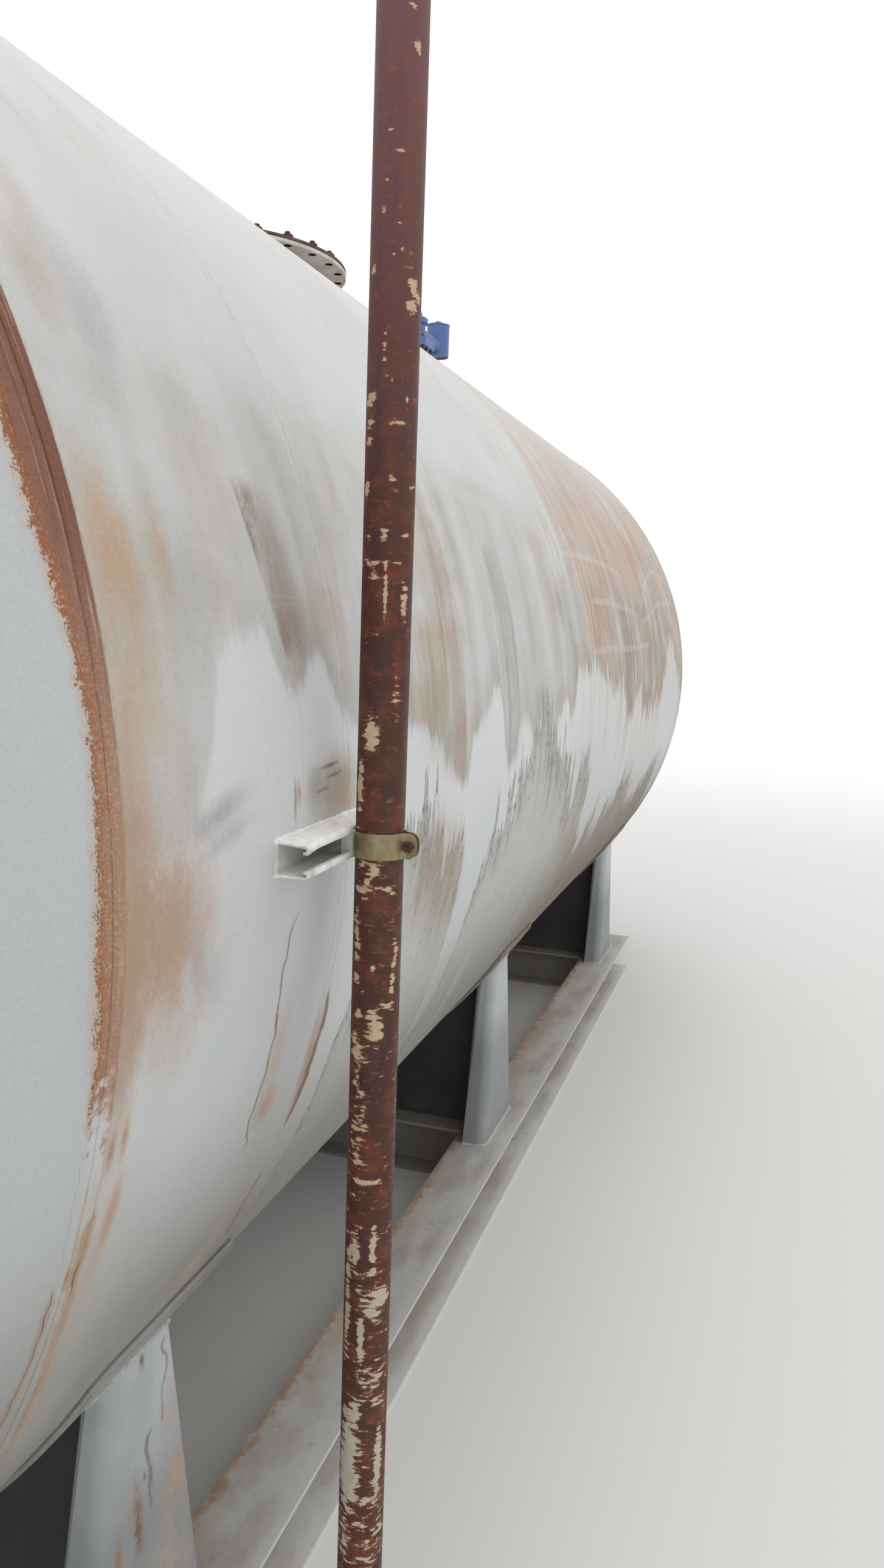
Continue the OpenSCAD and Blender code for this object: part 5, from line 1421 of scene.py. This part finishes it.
def seen_rays(tree):
    """1 for rays that show a background to the eye: direct, mirrored or through glass."""
    rays = add(tree, "LightPath", out=None).outputs
    seen = add(tree, "Math", {0: rays["Is Camera Ray"], 1: rays["Is Glossy Ray"]}, operation="MAXIMUM")
    return add(tree, "Math", {0: seen, 1: rays["Is Transmission Ray"]}, operation="MAXIMUM")


class TANK_OT_stage(TankOperator, bpy.types.Operator):
    """Add the pale floor, the soft light and the camera at the photograph's place"""
    bl_idname = "tank.stage"
    bl_label = "Stage"

    def execute(self, context):
        settings = context.scene.tank_stage
        half = settings.floor_half
        mesh = bpy.data.meshes.new("floor")
        mesh.from_pydata([(-half, -half, 0), (half, -half, 0), (half, half, 0), (-half, half, 0)],
                         [], [(0, 1, 2, 3)])
        floor = put_in_scene("floor", mesh)
        # Matt pale floor round the tank; far from it the eye sees plain white.
        material = bpy.data.materials.new("pale_floor")
        material.use_nodes = True
        tree = material.node_tree
        tree.nodes.clear()
        far = add(tree, "VectorMath", {0: add(tree, "TexCoord", out=3)}, out=1, operation="LENGTH")
        fade = add(tree, "MapRange", {0: far, 1: 3.5, 2: 12.0}, **SOFT)
        fade = add(tree, "Math", {0: fade, 1: seen_rays(tree)}, operation="MULTIPLY")
        matt = add(tree, "BsdfDiffuse", {"Color": linear("#E4E4E2")})
        glow = add(tree, "Emission", {"Color": (1, 1, 1, 1), "Strength": 1.0})
        mixed = add(tree, "MixShader", {0: fade, 1: matt, 2: glow})
        add(tree, "OutputMaterial", {"Surface": mixed}, out=None)
        mesh.materials.append(material)

        world = context.scene.world = bpy.data.worlds.new("soft_sky")
        world.use_nodes = True
        sky = world.node_tree
        sky.nodes.clear()
        strength = add(sky, "MapRange", {0: seen_rays(sky), 3: settings.sky, 4: 1.0})
        light = add(sky, "Background", {"Color": (1, 1, 1, 1), "Strength": strength})
        add(sky, "OutputWorld", {"Surface": light}, out=None)

        light = bpy.data.lights.new("overhead", "AREA")
        light.energy, light.shape, light.size, light.size_y = settings.overhead, "RECTANGLE", 9.0, 6.0
        lamp = put_in_scene("overhead", light)
        lamp.location = (-0.8, -2.6, 7.5)
        lamp.rotation_euler = Matrix.Rotation(math.radians(-22), 4, "X").to_euler()

        # The photograph's camera: its right, up and backward directions, and its place.
        view = bpy.data.cameras.new("photo_view")
        view.lens, view.sensor_width, view.sensor_fit = 25.854, 36.0, "AUTO"
        view.clip_start, view.clip_end = 0.05, 200.0
        camera = put_in_scene("photo_view", view)
        right, up = (0.30478, -0.95175, 0.03574), (0.12631, 0.07759, 0.98895)
        back = (-0.94401, -0.29690, 0.14386)
        turn = Matrix((right, up, back)).transposed()
        camera.matrix_world = Matrix.Translation((-3.170, -1.769, 1.6783)) @ turn.to_4x4()
        context.scene.camera = camera
        context.scene.view_settings.view_transform = "Standard"
        return {"FINISHED"}


class TANK_PT_panel(bpy.types.Panel):
    """Lists the tank's pieces and settings in the 3D view's sidebar"""
    bl_idname = "TANK_PT_panel"
    bl_label = "Pressure tank"
    bl_space_type = "VIEW_3D"
    bl_region_type = "UI"
    bl_category = "Tank"

    def draw(self, context):
        for group in ("tank_paint", "tank_welds", "tank_bolts", "tank_stage"):
            settings = getattr(context.scene, group)
            box = self.layout.box()
            for name in settings.__annotations__:
                box.prop(settings, name)
        for operator in OPERATORS:
            self.layout.operator(operator.bl_idname)


GROUPS = {"tank_paint": TANK_PG_paint, "tank_welds": TANK_PG_welds, "tank_bolts": TANK_PG_bolts,
          "tank_stage": TANK_PG_stage}
OPERATORS = [TANK_OT_finishes, TANK_OT_girth_beads, TANK_OT_pad_welds, TANK_OT_post_welds, TANK_OT_web_welds,
             TANK_OT_manway_bolts, TANK_OT_vent_bolts, TANK_OT_strut, TANK_OT_clamp, TANK_OT_stage]


def register():
    for name, group in GROUPS.items():
        bpy.utils.register_class(group)
        setattr(bpy.types.Scene, name, bpy.props.PointerProperty(type=group))
    for kind in OPERATORS + [TANK_PT_panel]:
        bpy.utils.register_class(kind)


def unregister():
    for kind in [TANK_PT_panel] + OPERATORS[::-1]:
        bpy.utils.unregister_class(kind)
    for name, group in GROUPS.items():
        delattr(bpy.types.Scene, name)
        bpy.utils.unregister_class(group)


def main():
    """Registers the classes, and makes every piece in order."""
    register()
    for operator in OPERATORS:
        group, name = operator.bl_idname.split(".")
        getattr(getattr(bpy.ops, group), name)()


if __name__ == "__main__":
    main()
